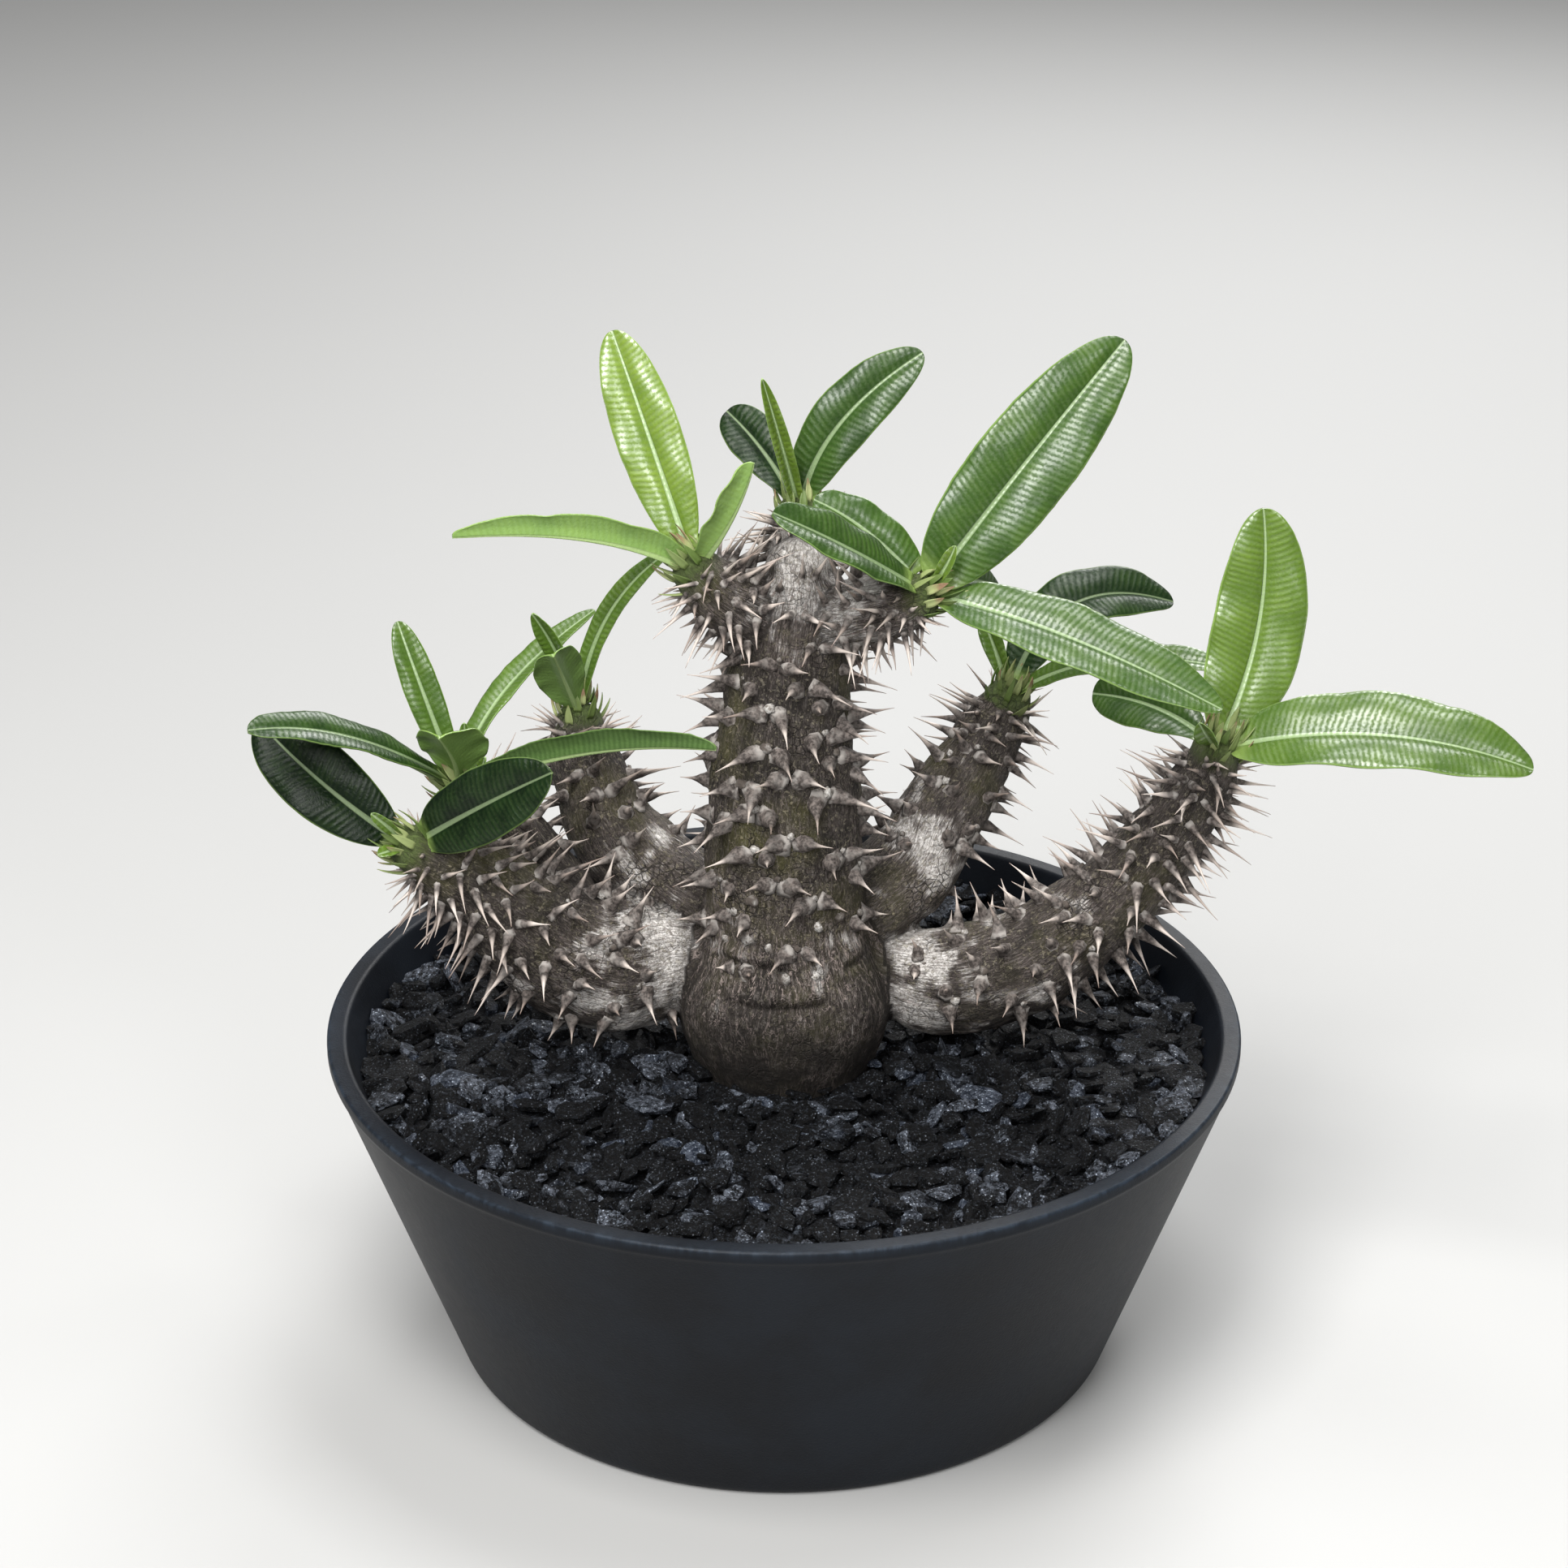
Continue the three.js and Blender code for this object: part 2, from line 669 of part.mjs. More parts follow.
export default plant;
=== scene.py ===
# Potted Pachypodium makayense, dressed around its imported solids.
# Blender works in metres. The shapes below are worked out in millimetres and scaled as they become meshes.
import bpy
import numpy as np
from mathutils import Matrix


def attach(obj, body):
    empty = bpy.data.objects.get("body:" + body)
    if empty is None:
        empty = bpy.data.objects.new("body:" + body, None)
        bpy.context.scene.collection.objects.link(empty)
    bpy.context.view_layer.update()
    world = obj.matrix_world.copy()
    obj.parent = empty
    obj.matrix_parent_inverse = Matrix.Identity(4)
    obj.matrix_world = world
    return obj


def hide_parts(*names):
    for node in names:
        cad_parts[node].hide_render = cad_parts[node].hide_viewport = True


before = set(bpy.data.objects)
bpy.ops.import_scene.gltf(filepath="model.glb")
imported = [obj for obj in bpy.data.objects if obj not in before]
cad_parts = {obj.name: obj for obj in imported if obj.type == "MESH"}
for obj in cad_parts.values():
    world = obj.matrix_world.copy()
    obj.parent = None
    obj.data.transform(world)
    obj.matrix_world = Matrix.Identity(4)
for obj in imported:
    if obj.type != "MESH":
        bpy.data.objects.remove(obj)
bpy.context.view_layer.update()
print("frame loaded, nodes:", len(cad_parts))

mm = 0.001
fullTurn = 2 * np.pi
goldenAngle = np.pi * (3 - np.sqrt(5))


# Meshes from arrays

def addObject(name, data):
    made = bpy.data.objects.new(name, data)
    bpy.context.scene.collection.objects.link(made)
    return made


# Points in mm and face arrays, one row per face, become a mesh. Marks are per-point values for the materials.
def makePiece(name, points, faceSets, marks=None, rounded=True):
    corners = np.concatenate([np.ravel(faces) for faces in faceSets]).astype(np.int32)
    sizes = np.concatenate([np.full(len(faces), np.shape(faces)[1]) for faces in faceSets])
    starts = np.concatenate([[0], np.cumsum(sizes)[:-1]]).astype(np.int32)
    mesh = bpy.data.meshes.new(name)
    mesh.vertices.add(len(points))
    mesh.vertices.foreach_set("co", np.ravel(points * mm).astype(np.float32))
    mesh.loops.add(len(corners))
    mesh.loops.foreach_set("vertex_index", corners)
    mesh.polygons.add(len(sizes))
    mesh.polygons.foreach_set("loop_start", starts)
    mesh.polygons.foreach_set("use_smooth", np.full(len(sizes), rounded))
    mesh.update(calc_edges=True)
    mesh.validate()
    for mark, values in (marks or {}).items():
        addMark(mesh, mark, values)
    return addObject(name, mesh)


def addMark(mesh, mark, values):
    values = np.asarray(values, np.float32)
    if values.ndim == 1:
        mesh.attributes.new(mark, "FLOAT", "POINT").data.foreach_set("value", values)
    else:
        mesh.attributes.new(mark, "FLOAT_VECTOR", "POINT").data.foreach_set("vector", values.ravel())


# Three numbers for each item of one of a mesh's lists, such as the places of its points
def readVectors(items, field):
    values = np.empty(len(items) * 3)
    items.foreach_get(field, values)
    return values.reshape(-1, 3)


# The mesh that a piece's modifiers give
def finishedMesh(piece):
    return bpy.data.meshes.new_from_object(piece.evaluated_get(bpy.context.evaluated_depsgraph_get()))


# Rides with the plant's one body, takes the given material, and stands for CAD nodes where it names them,
# hiding them
def dress(piece, material, slot, *nodes):
    piece.data.materials.clear()
    piece.data.materials.append(material)
    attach(piece, "root")
    if nodes:
        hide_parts(*nodes)


# Quads between neighbouring rows and columns of a grid; wrap joins the last column to the first
def gridFaces(rows, columns, wrap=False):
    row = np.arange(rows - 1)[:, None] * columns
    column = np.arange(columns if wrap else columns - 1)[None, :]
    after = (column + 1) % columns
    corners = [row + column, row + after, row + columns + after, row + columns + column]
    return np.stack(corners, -1).reshape(-1, 4)


# The same faces for every copy, each copy's indices moved on by the points of one
def repeatFaces(faces, copies, pointsEach):
    faces = np.asarray(faces)
    return (faces[None] + (np.arange(copies) * pointsEach)[:, None, None]).reshape(-1, faces.shape[1])


# Closed tubes: quads between neighbouring rings, and one flat face over each end
def tubeFaces(rings, sides, copies=1):
    caps = np.array([np.arange(sides)[::-1], np.arange(sides) + (rings - 1) * sides])
    return [repeatFaces(faces, copies, rings * sides) for faces in (gridFaces(rings, sides, wrap=True), caps)]


# Closed sheets: the grid of the upper points, that of the lower points after them, and a hem all round
def sheetFaces(rows, columns, copies=1):
    count = rows * columns
    quads = gridFaces(rows, columns)
    edge = np.concatenate([
        np.arange(columns),
        np.arange(1, rows) * columns + columns - 1,
        (rows - 1) * columns + np.arange(columns - 1)[::-1],
        np.arange(1, rows - 1)[::-1] * columns,
    ])
    after = np.roll(edge, -1)
    hem = np.stack([edge, edge + count, after + count, after], 1)
    return repeatFaces(np.vstack([quads[:, ::-1], quads + count, hem[:, ::-1]]), copies, 2 * count)


def unit(vectors):
    return vectors / np.maximum(np.linalg.norm(vectors, axis=-1, keepdims=True), 1e-9)


# Equal steps of a full turn
def turnSteps(sides):
    return np.arange(sides) * fullTurn / sides


# Unit circles, one for each pair of first and second: cos a first + sin a second
def circles(first, second, sides):
    turn = turnSteps(sides)
    return np.cos(turn)[None, :, None] * first[:, None] + np.sin(turn)[None, :, None] * second[:, None]


# One direction for each row: cos turn first + sin turn second
def directionAt(turn, first, second):
    return np.cos(turn)[:, None] * first + np.sin(turn)[:, None] * second


# Value noise from -1 to 1: random numbers on a cubic lattice, blended between eight corners by 3u^2 - 2u^3
latticeSize = 32
latticeShift = 100  # keeps the cells' numbers above zero
lattice = np.random.default_rng(5).uniform(-1, 1, (latticeSize,) * 3)


def lumps(points, size):
    place = np.asarray(points) / size + latticeShift
    low = np.floor(place).astype(int)
    share = place - low
    share = share * share * (3 - 2 * share)
    total = 0
    for corner in np.ndindex(2, 2, 2):
        at = (low + corner) % latticeSize
        weight = np.prod(np.where(corner, share, 1 - share), axis=-1)
        total = total + weight * lattice[at[..., 0], at[..., 1], at[..., 2]]
    return total


# A soft step from 0 at low to 1 at high
def softStep(value, low, high):
    share = np.clip((value - low) / (high - low), 0, 1)
    return share * share * (3 - 2 * share)


# Shader maths

# A socket that adds its own Math nodes when it is used in a sum
class Wire:
    def __init__(self, paint, socket):
        self.paint, self.socket = paint, socket

    def maths(self, operation, first, second=None):
        values = {0: first}
        if second is not None:
            values[1] = second
        return self.paint.node("ShaderNodeMath", {"operation": operation}, values)

    def __add__(self, other):
        return self.maths("ADD", self, other)

    def __radd__(self, other):
        return self.maths("ADD", other, self)

    def __sub__(self, other):
        return self.maths("SUBTRACT", self, other)

    def __rsub__(self, other):
        return self.maths("SUBTRACT", other, self)

    def __mul__(self, other):
        return self.maths("MULTIPLY", self, other)

    def __rmul__(self, other):
        return self.maths("MULTIPLY", other, self)

    def __pow__(self, other):
        return self.maths("POWER", self, other)

    def __abs__(self):
        return self.maths("ABSOLUTE", self)

    def sine(self):
        return self.maths("SINE", self)

    def step(self, low, high):
        settings = {"interpolation_type": "SMOOTHSTEP"}
        return self.paint.node("ShaderNodeMapRange", settings, {0: self, 1: low, 2: high, 3: 0.0, 4: 1.0})

    def parts(self):
        return [self.paint.node("ShaderNodeSeparateXYZ", {}, {0: self}, out) for out in range(3)]


# One material and the nodes in it
class Paint:
    def __init__(self, name):
        self.material = bpy.data.materials.new(name)
        self.material.use_nodes = True
        self.nodes = self.material.node_tree.nodes
        self.nodes.clear()

    # Makes a node, sets its settings first, then its sockets' values or links, and hands back one output
    def node(self, kind, settings=None, values=None, out=0):
        made = self.nodes.new(kind)
        for key, value in (settings or {}).items():
            if key == "stops":
                self.setStops(made.color_ramp, value)
            else:
                setattr(made, key, value)
        for key, value in (values or {}).items():
            if isinstance(value, Wire):
                self.material.node_tree.links.new(value.socket, made.inputs[key])
            else:
                made.inputs[key].default_value = value
        return Wire(self, made.outputs[out])

    def setStops(self, ramp, stops):
        while len(ramp.elements) < len(stops):
            ramp.elements.new(0.5)
        for element, (place, colour) in zip(ramp.elements, stops):
            element.position = place
            element.color = (*colour, 1)

    def mark(self, name, vector=False):
        return self.node("ShaderNodeAttribute", {"attribute_name": name}, {}, 1 if vector else 2)

    def place(self):
        return self.node("ShaderNodeTexCoord", {}, {}, 3)

    def noise(self, vector, scale, detail=4.0, roughness=0.55, distortion=0.0):
        return self.node("ShaderNodeTexNoise", {}, {
            "Vector": vector, "Scale": scale, "Detail": detail,
            "Roughness": roughness, "Distortion": distortion,
        })

    def cells(self, vector, scale, feature="F1"):
        return self.node("ShaderNodeTexVoronoi", {"feature": feature}, {"Vector": vector, "Scale": scale})

    def stretch(self, vector, scale):
        return self.node("ShaderNodeVectorMath", {"operation": "MULTIPLY"}, {0: vector, 1: scale})

    def shift(self, vector, other):
        return self.node("ShaderNodeVectorMath", {"operation": "ADD"}, {0: vector, 1: other})

    # The share of the second colour is the factor
    def blend(self, factor, first, second):
        first, second = [(*c, 1) if isinstance(c, tuple) else c for c in (first, second)]
        settings = {"data_type": "RGBA", "blend_type": "MIX", "clamp_factor": True}
        return self.node("ShaderNodeMix", settings, {0: factor, 6: first, 7: second}, 2)

    def bump(self, height, depth, strength=1.0, under=None):
        values = {"Strength": strength, "Distance": depth, "Height": height}
        if under is not None:
            values["Normal"] = under
        return self.node("ShaderNodeBump", {}, values)

    def surface(self, **values):
        sockets = {key.replace("_", " "): value for key, value in values.items()}
        shader = self.node("ShaderNodeBsdfPrincipled", {}, sockets)
        output = self.nodes.new("ShaderNodeOutputMaterial")
        self.material.node_tree.links.new(shader.socket, output.inputs[0])
        return self.material


# Stem: limbs as paths of x, y, z and radius

limbs = {
    "trunk": [
        (0, 0, 44, 11), (0, 0, 54, 15.5), (0, 0, 62, 19), (0, 0, 68, 21), (0, 0, 74, 21.6),
        (0, 0, 79, 20.2), (0, 0, 84, 18), (0, 0, 92, 16), (0, 0, 104, 15.3), (0, 0, 116, 14.6),
        (0, 0, 130, 12.7), (1, 0, 142, 11.6), (2, 0, 150, 11), (3, 1, 157, 9.2), (3, 2, 161, 7),
    ],
    "crownLeft": [(0, 0, 150, 8.5), (-8, -2, 156, 7.6), (-13, -4, 160, 6.2), (-16, -4, 163, 4.8)],
    "crownBack": [(3, 2, 155, 8), (3, 6, 161, 6.8), (3, 8, 165, 5.8), (3, 10, 168.5, 4.6)],
    "crownRight": [(4, -1, 152, 8), (13, -4, 155, 6.8), (21, -7, 158, 6), (25, -8, 160, 4.6)],
    "frontLeft": [
        (-8, 2.5, 80, 10.5), (-21, 3.5, 79, 11.6), (-33, 1.5, 79.2, 13.8), (-43, -2, 84, 13),
        (-51, -5, 92, 11.2), (-59, -8, 101, 9), (-65, -11, 106, 7), (-70, -12, 109.5, 4.8),
    ],
    "left": [
        (-42, 2, 86, 10), (-50, 6, 96, 9), (-56.5, 9, 105, 7.4), (-60, 9, 109.5, 6.2), (-62.5, 9, 112.5, 4.8),
    ],
    "backLeft": [
        (-12, 6, 86, 9.5), (-26, 15, 92, 9.6), (-35, 21, 100, 8.8), (-39, 26, 109, 7.6),
        (-41, 29, 114.5, 6.2), (-41, 30, 118, 4.8),
    ],
    "right": [
        (8, 2.5, 79, 9), (21, 3, 75.6, 9.2), (33, 1, 75.3, 10.8), (46, -1, 80, 10.4), (58, -2, 89, 9.2),
        (68, -3, 100, 8), (76, -4, 113, 7), (80.5, -4, 122, 5.8), (82, -4, 126, 4.6),
    ],
    "backRight": [
        (12, 5, 86, 9.5), (25, 14, 94, 9.6), (32, 21, 103, 8.6), (39, 28, 112, 7.4),
        (43.5, 32, 118.5, 6), (44.5, 32, 121.5, 4.8),
    ],
}


# Uniform Catmull-Rom: between knots b and c with neighbours a and d, the point is
# b + (c - a)u/2 + (2a - 5b + 4c - d)u^2/2 + (3b - 3c + d - a)u^3/2. The ends run on straight.
def alongPath(knots, share):
    knots = np.asarray(knots, float)
    ends = np.vstack([2 * knots[0] - knots[1], knots, 2 * knots[-1] - knots[-2]])
    spot = np.clip(share, 0, 1) * (len(knots) - 1)
    first = np.minimum(spot.astype(int), len(knots) - 2)
    u = (spot - first)[:, None]
    a, b, c, d = (ends[first + k] for k in range(4))
    return b + 0.5 * u * (c - a + u * (2 * a - 5 * b + 4 * c - d + u * (3 * b - 3 * c + d - a)))


# Centre, radius, direction, two directions square to it, and length from the foot, at shares of a limb
def limbAt(name, share):
    share = np.asarray(share, float)
    spot = alongPath(limbs[name], share)
    step = 1e-3
    direction = unit(alongPath(limbs[name], np.clip(share + step, 0, 1))[:, :3]
                     - alongPath(limbs[name], np.clip(share - step, 0, 1))[:, :3])
    first = unit(np.array([0, 1, 0]) - direction * direction[:, 1:2])
    table = np.linspace(0, 1, 200)
    walk = np.linalg.norm(np.diff(alongPath(limbs[name], table)[:, :3], axis=0), axis=1)
    length = np.interp(share, table, np.concatenate([[0], np.cumsum(walk)]))
    return spot[:, :3], spot[:, 3], direction, first, np.cross(direction, first), length


# A closed round tube: centre + radius (cos a first + sin a second), with a quarter-round dome past the tip
def limbTube(name, rings=70, sides=40, domeRings=9):
    centre, radius, direction, first, second, _ = limbAt(name, np.linspace(0, 1, rings))
    rise = np.linspace(0, np.pi / 2, domeRings + 1)[1:]
    narrowest = 0.05
    centre = np.vstack([centre, centre[-1] + np.sin(rise)[:, None] * radius[-1] * direction[-1]])
    radius = np.concatenate([radius, np.maximum(radius[-1] * np.cos(rise), narrowest)])
    first = np.vstack([first, np.repeat(first[-1:], domeRings, 0)])
    second = np.vstack([second, np.repeat(second[-1:], domeRings, 0)])
    points = centre[:, None] + radius[:, None, None] * circles(first, second, sides)
    return points.reshape(-1, 3), tubeFaces(rings + domeRings, sides)


skin = {
    "voxel": 0.66,          # mm, the size of the skin's quads
    "softening": 5,
    "lumpHeights": {6.5: 0.55, 2.8: 0.26, 1.4: 0.14},  # size of the lumps: how high they stand
    "wrinkleHeight": 0.16,
    "wrinkleSize": 1.5,
    "wrinkleStretch": 0.14,
    "barkRadius": 14,       # mm, the radius at which the bark of every limb is unrolled
    "barkShift": 37.0,      # mm between the unrolled barks of two limbs
    "smoothCrown": (148, 156),  # mm of height, over which the crown gets smoother
    "smoothFoot": (84, 96),
    "smoothing": 0.6,       # share of the relief that the smoothest bark would lose
    "tipHeight": 5.0,       # mm of fresh green-brown skin at each growing tip
    "seamWidth": 2.2,
    "seamDepth": 0.5,
    "seamShade": 2.5,       # mm from the next limb, within which a seam gets painted shade
    "creaseWidth": 0.62,
    "creaseFade": 14,       # degrees, over which a crease begins and ends
    "foldRise": 2.2,
    "foldWidth": 1.5,
    # folds across the trunk: height, rise at 30 degrees, start and end in degrees from the front, depth of
    # the crease, height of the fold above it
    "creases": [
        (79.9, 0.3, -40, 31, 0.95, 0.95),
        (86.2, -0.2, -54, 3, 0.95, 0.95),
        (85.2, 0.3, 34, 68, 0.6, 0.45),
        (91.0, -0.4, -44, -4, 0.5, 0.35),
        (72.9, 0.0, -2, 18, 0.55, 0.25),
        (95.5, 0.8, 100, 170, 0.8, 0.4),
        (85.5, 0.9, 150, 215, 0.9, 0.5),
        (78.0, 0.5, 210, 262, 0.6, 0.3),
    ],
    "silverSpots": {6: 0.3, 2.2: 0.25},  # size of the spots: how much they add or take
    # how silvery a limb is, at shares from its foot to its tip
    "silver": {
        "trunk": [(0, 0.15), (0.28, 0.2), (0.36, 0.5), (0.46, 0.58), (0.52, 0.3), (0.62, 0.12), (0.8, 0.12),
                  (0.89, 0.8), (1, 1)],
        "crownLeft": [(0, 0.9), (0.45, 0.5), (1, 0.15)],
        "crownBack": [(0, 1), (0.5, 0.8), (1, 0.4)],
        "crownRight": [(0, 1), (0.5, 0.8), (0.75, 0.45), (1, 0.15)],
        "frontLeft": [(0, 0.6), (0.18, 1.0), (0.32, 0.75), (0.48, 0.42), (0.62, 0.28), (1, 0.12)],
        "left": [(0, 0.3), (1, 0.1)],
        "backLeft": [(0, 0.5), (0.2, 0.65), (0.5, 0.2), (1, 0.1)],
        "right": [(0, 0.4), (0.2, 0.95), (0.3, 0.5), (0.5, 0.45), (0.7, 0.25), (1, 0.12)],
        "backRight": [(0, 0.5), (0.25, 0.7), (0.5, 0.3), (1, 0.15)],
    },
}
limbNames = list(limbs)


# For points on the skin: the nearest limb, the share and length along it, the angle round it, how far the
# point is past its tip, and the height over the surface of the next nearest limb
def findLimb(points, samples=110):
    best = {}
    heights = np.empty((len(limbNames), len(points)))
    spots = np.empty((len(limbNames), len(points)), int)
    shares = np.linspace(0, 1, samples)
    for index, name in enumerate(limbNames):
        centre, radius, *_ = limbAt(name, shares)
        square = (points**2).sum(1)[:, None] - 2 * points @ centre.T + (centre**2).sum(1)[None]
        height = np.sqrt(np.maximum(square, 0)) - radius[None]
        spots[index] = height.argmin(1)
        heights[index] = height.min(1)
    order = np.argsort(heights, axis=0)
    everyPoint = np.arange(len(points))
    nearest = order[0]
    best["limb"] = nearest
    best["nextHeight"] = heights[order[1], everyPoint]
    spot = spots[nearest, everyPoint]
    best["share"] = shares[spot]
    best["length"] = np.empty(len(points))
    best["angle"] = np.empty(len(points))
    best["over"] = np.zeros(len(points))
    for index, name in enumerate(limbNames):
        mine = nearest == index
        centre, radius, direction, first, second, length = limbAt(name, shares)
        here = spot[mine]
        away = points[mine] - centre[here]
        ahead = (away * direction[here]).sum(1)
        best["length"][mine] = length[here] + ahead
        best["over"][mine] = length[here] + ahead - length[-1]
        best["angle"][mine] = np.arctan2((away * second[here]).sum(1), (away * first[here]).sum(1))
    return best


# All limbs as tubes, joined in one skin by a voxel remesh and softened
def joinLimbs():
    points, quads, caps, offset = [], [], [], 0
    for name in limbNames:
        tube, (walls, ends) = limbTube(name)
        points.append(tube)
        quads.append(walls + offset)
        caps.append(ends + offset)
        offset += len(tube)
    draft = makePiece("stemDraft", np.vstack(points), [np.vstack(quads), np.vstack(caps)])
    remesh = draft.modifiers.new("oneSkin", "REMESH")
    remesh.mode = "VOXEL"
    remesh.voxel_size = skin["voxel"] * mm
    soften = draft.modifiers.new("soften", "SMOOTH")
    soften.factor = 0.5
    soften.iterations = skin["softening"]
    mesh = finishedMesh(draft)
    bpy.data.objects.remove(draft)
    return mesh


# How far each point of the trunk is pushed out, and how deep it lies in a crease, from 0 to 1, which sets the
# crease's painted shade. A crease
# follows a waved line round the trunk: at a height h over it is a dip e^-(h/width)^2, with a swell above.
def foldTrunk(points, unrolled, onTrunk):
    degrees = np.degrees(np.arctan2(points[:, 0], -points[:, 1])) % 360
    push, hollow = np.zeros(len(points)), np.zeros(len(points))
    fadeOver = skin["creaseFade"]
    for height, rise, start, end, depth, fold in skin["creases"]:
        turn = (degrees - start) % 360
        offCentre = ((degrees - (start + end) / 2 + 180) % 360 - 180) / 30
        line = height + rise * offCentre**2 + 0.9 * lumps(unrolled, 6) + 0.3 * lumps(unrolled, 1.7)
        span = end - start
        fade = softStep(turn, 0, fadeOver) * (1 - softStep(turn, span - fadeOver, span)) * onTrunk
        below = points[:, 2] - line
        dip = np.exp(-(below / skin["creaseWidth"]) ** 2) * fade
        swell = np.exp(-((below - skin["foldRise"]) / skin["foldWidth"]) ** 2) * fade
        push += -depth * dip + fold * swell
        hollow = np.maximum(hollow, dip)
    return push, hollow


def makeSkin():
    mesh = joinLimbs()
    points = readVectors(mesh.vertices, "co") / mm
    normals = readVectors(mesh.vertex_normals, "vector")
    at = findLimb(points)
    # 1 in the groove where two limbs meet
    seam = np.exp(-(np.maximum(at["nextHeight"], 0) / skin["seamWidth"]) ** 2)
    onTrunk = at["limb"] == 0

    # Bark lies in a plane of its own: round the limb at a fixed radius, and along it
    barkRadius = skin["barkRadius"]
    unrolled = np.stack([barkRadius * np.cos(at["angle"]), barkRadius * np.sin(at["angle"]), at["length"]], 1)
    unrolled += at["limb"][:, None] * np.array([skin["barkShift"], 0, 0])
    inCrown = (at["over"] < 0) * np.where(at["limb"] <= 3, 1, 0)  # the trunk and the crown's three forks
    smoothCrown = softStep(points[:, 2], *skin["smoothCrown"]) * inCrown
    smoothFoot = np.where(onTrunk, 1 - softStep(points[:, 2], *skin["smoothFoot"]), 0)
    roughness = 1 - skin["smoothing"] * np.maximum(0.5 * smoothCrown, 0.75 * smoothFoot)
    relief = sum(height * lumps(points, size) for size, height in skin["lumpHeights"].items()) * roughness
    relief += skin["wrinkleHeight"] * lumps(unrolled * [1, 1, skin["wrinkleStretch"]], skin["wrinkleSize"])
    push, hollow = foldTrunk(points, unrolled, onTrunk)
    relief = (relief + push) * (1 - 0.5 * seam) - skin["seamDepth"] * seam
    points += normals * relief[:, None]
    mesh.vertices.foreach_set("co", (points * mm).ravel())

    silver = np.zeros(len(points))
    for index, name in enumerate(limbNames):
        mine = at["limb"] == index
        stops = np.array(skin["silver"][name])
        silver[mine] = np.interp(at["share"][mine], stops[:, 0], stops[:, 1])
    for size, share in skin["silverSpots"].items():
        silver += share * lumps(points, size)
    fresh = softStep(at["over"], -skin["tipHeight"] * 0.5, skin["tipHeight"] * 0.6) * ~onTrunk
    addMark(mesh, "unrolled", unrolled)
    addMark(mesh, "silver", np.clip(silver, 0, 1))
    # painted shade: dark in the creases and in the seams where limbs meet
    addMark(mesh, "hollow", np.maximum(hollow, seam * (at["nextHeight"] < skin["seamShade"])))
    addMark(mesh, "fresh", fresh)
    addMark(mesh, "knobbly", roughness)
    mesh.polygons.foreach_set("use_smooth", np.full(len(mesh.polygons), True))
    mesh.update()
    mesh.name = "stemSkin"
    print("stem skin:", len(mesh.polygons), "faces")
    return addObject("stemSkin", mesh)


barkColours = {  # pairs run from dark to light
    "umber": ((0.014, 0.011, 0.009), (0.045, 0.036, 0.030)),
    "olive": (0.058, 0.054, 0.017),
    "mauve": ((0.046, 0.035, 0.031), (0.125, 0.102, 0.093)),
    "pale": ((0.38, 0.355, 0.33), (0.78, 0.75, 0.72)),
    "flecks": ((0.165, 0.139, 0.126), (0.48, 0.43, 0.40)),
    "gaps": (0.011, 0.0085, 0.007),
    "threads": (0.40, 0.325, 0.295),
    "specks": ((0.36, 0.33, 0.29), (0.24, 0.20, 0.085)),
    "sheath": ((0.045, 0.075, 0.014), (0.13, 0.19, 0.045)),
    "cracks": (0.010, 0.008, 0.007),
    # painted shade in the creases and seams
    "creases": (0.014, 0.010, 0.008),
    # painted shade at the foot of the stem
    "footShade": (0.012, 0.0095, 0.008),
    "footShadeHeight": (0.066, 0.090),  # m, over which the painted shade at the stem's foot fades out above the gravel
    "relief": 0.0007,
}


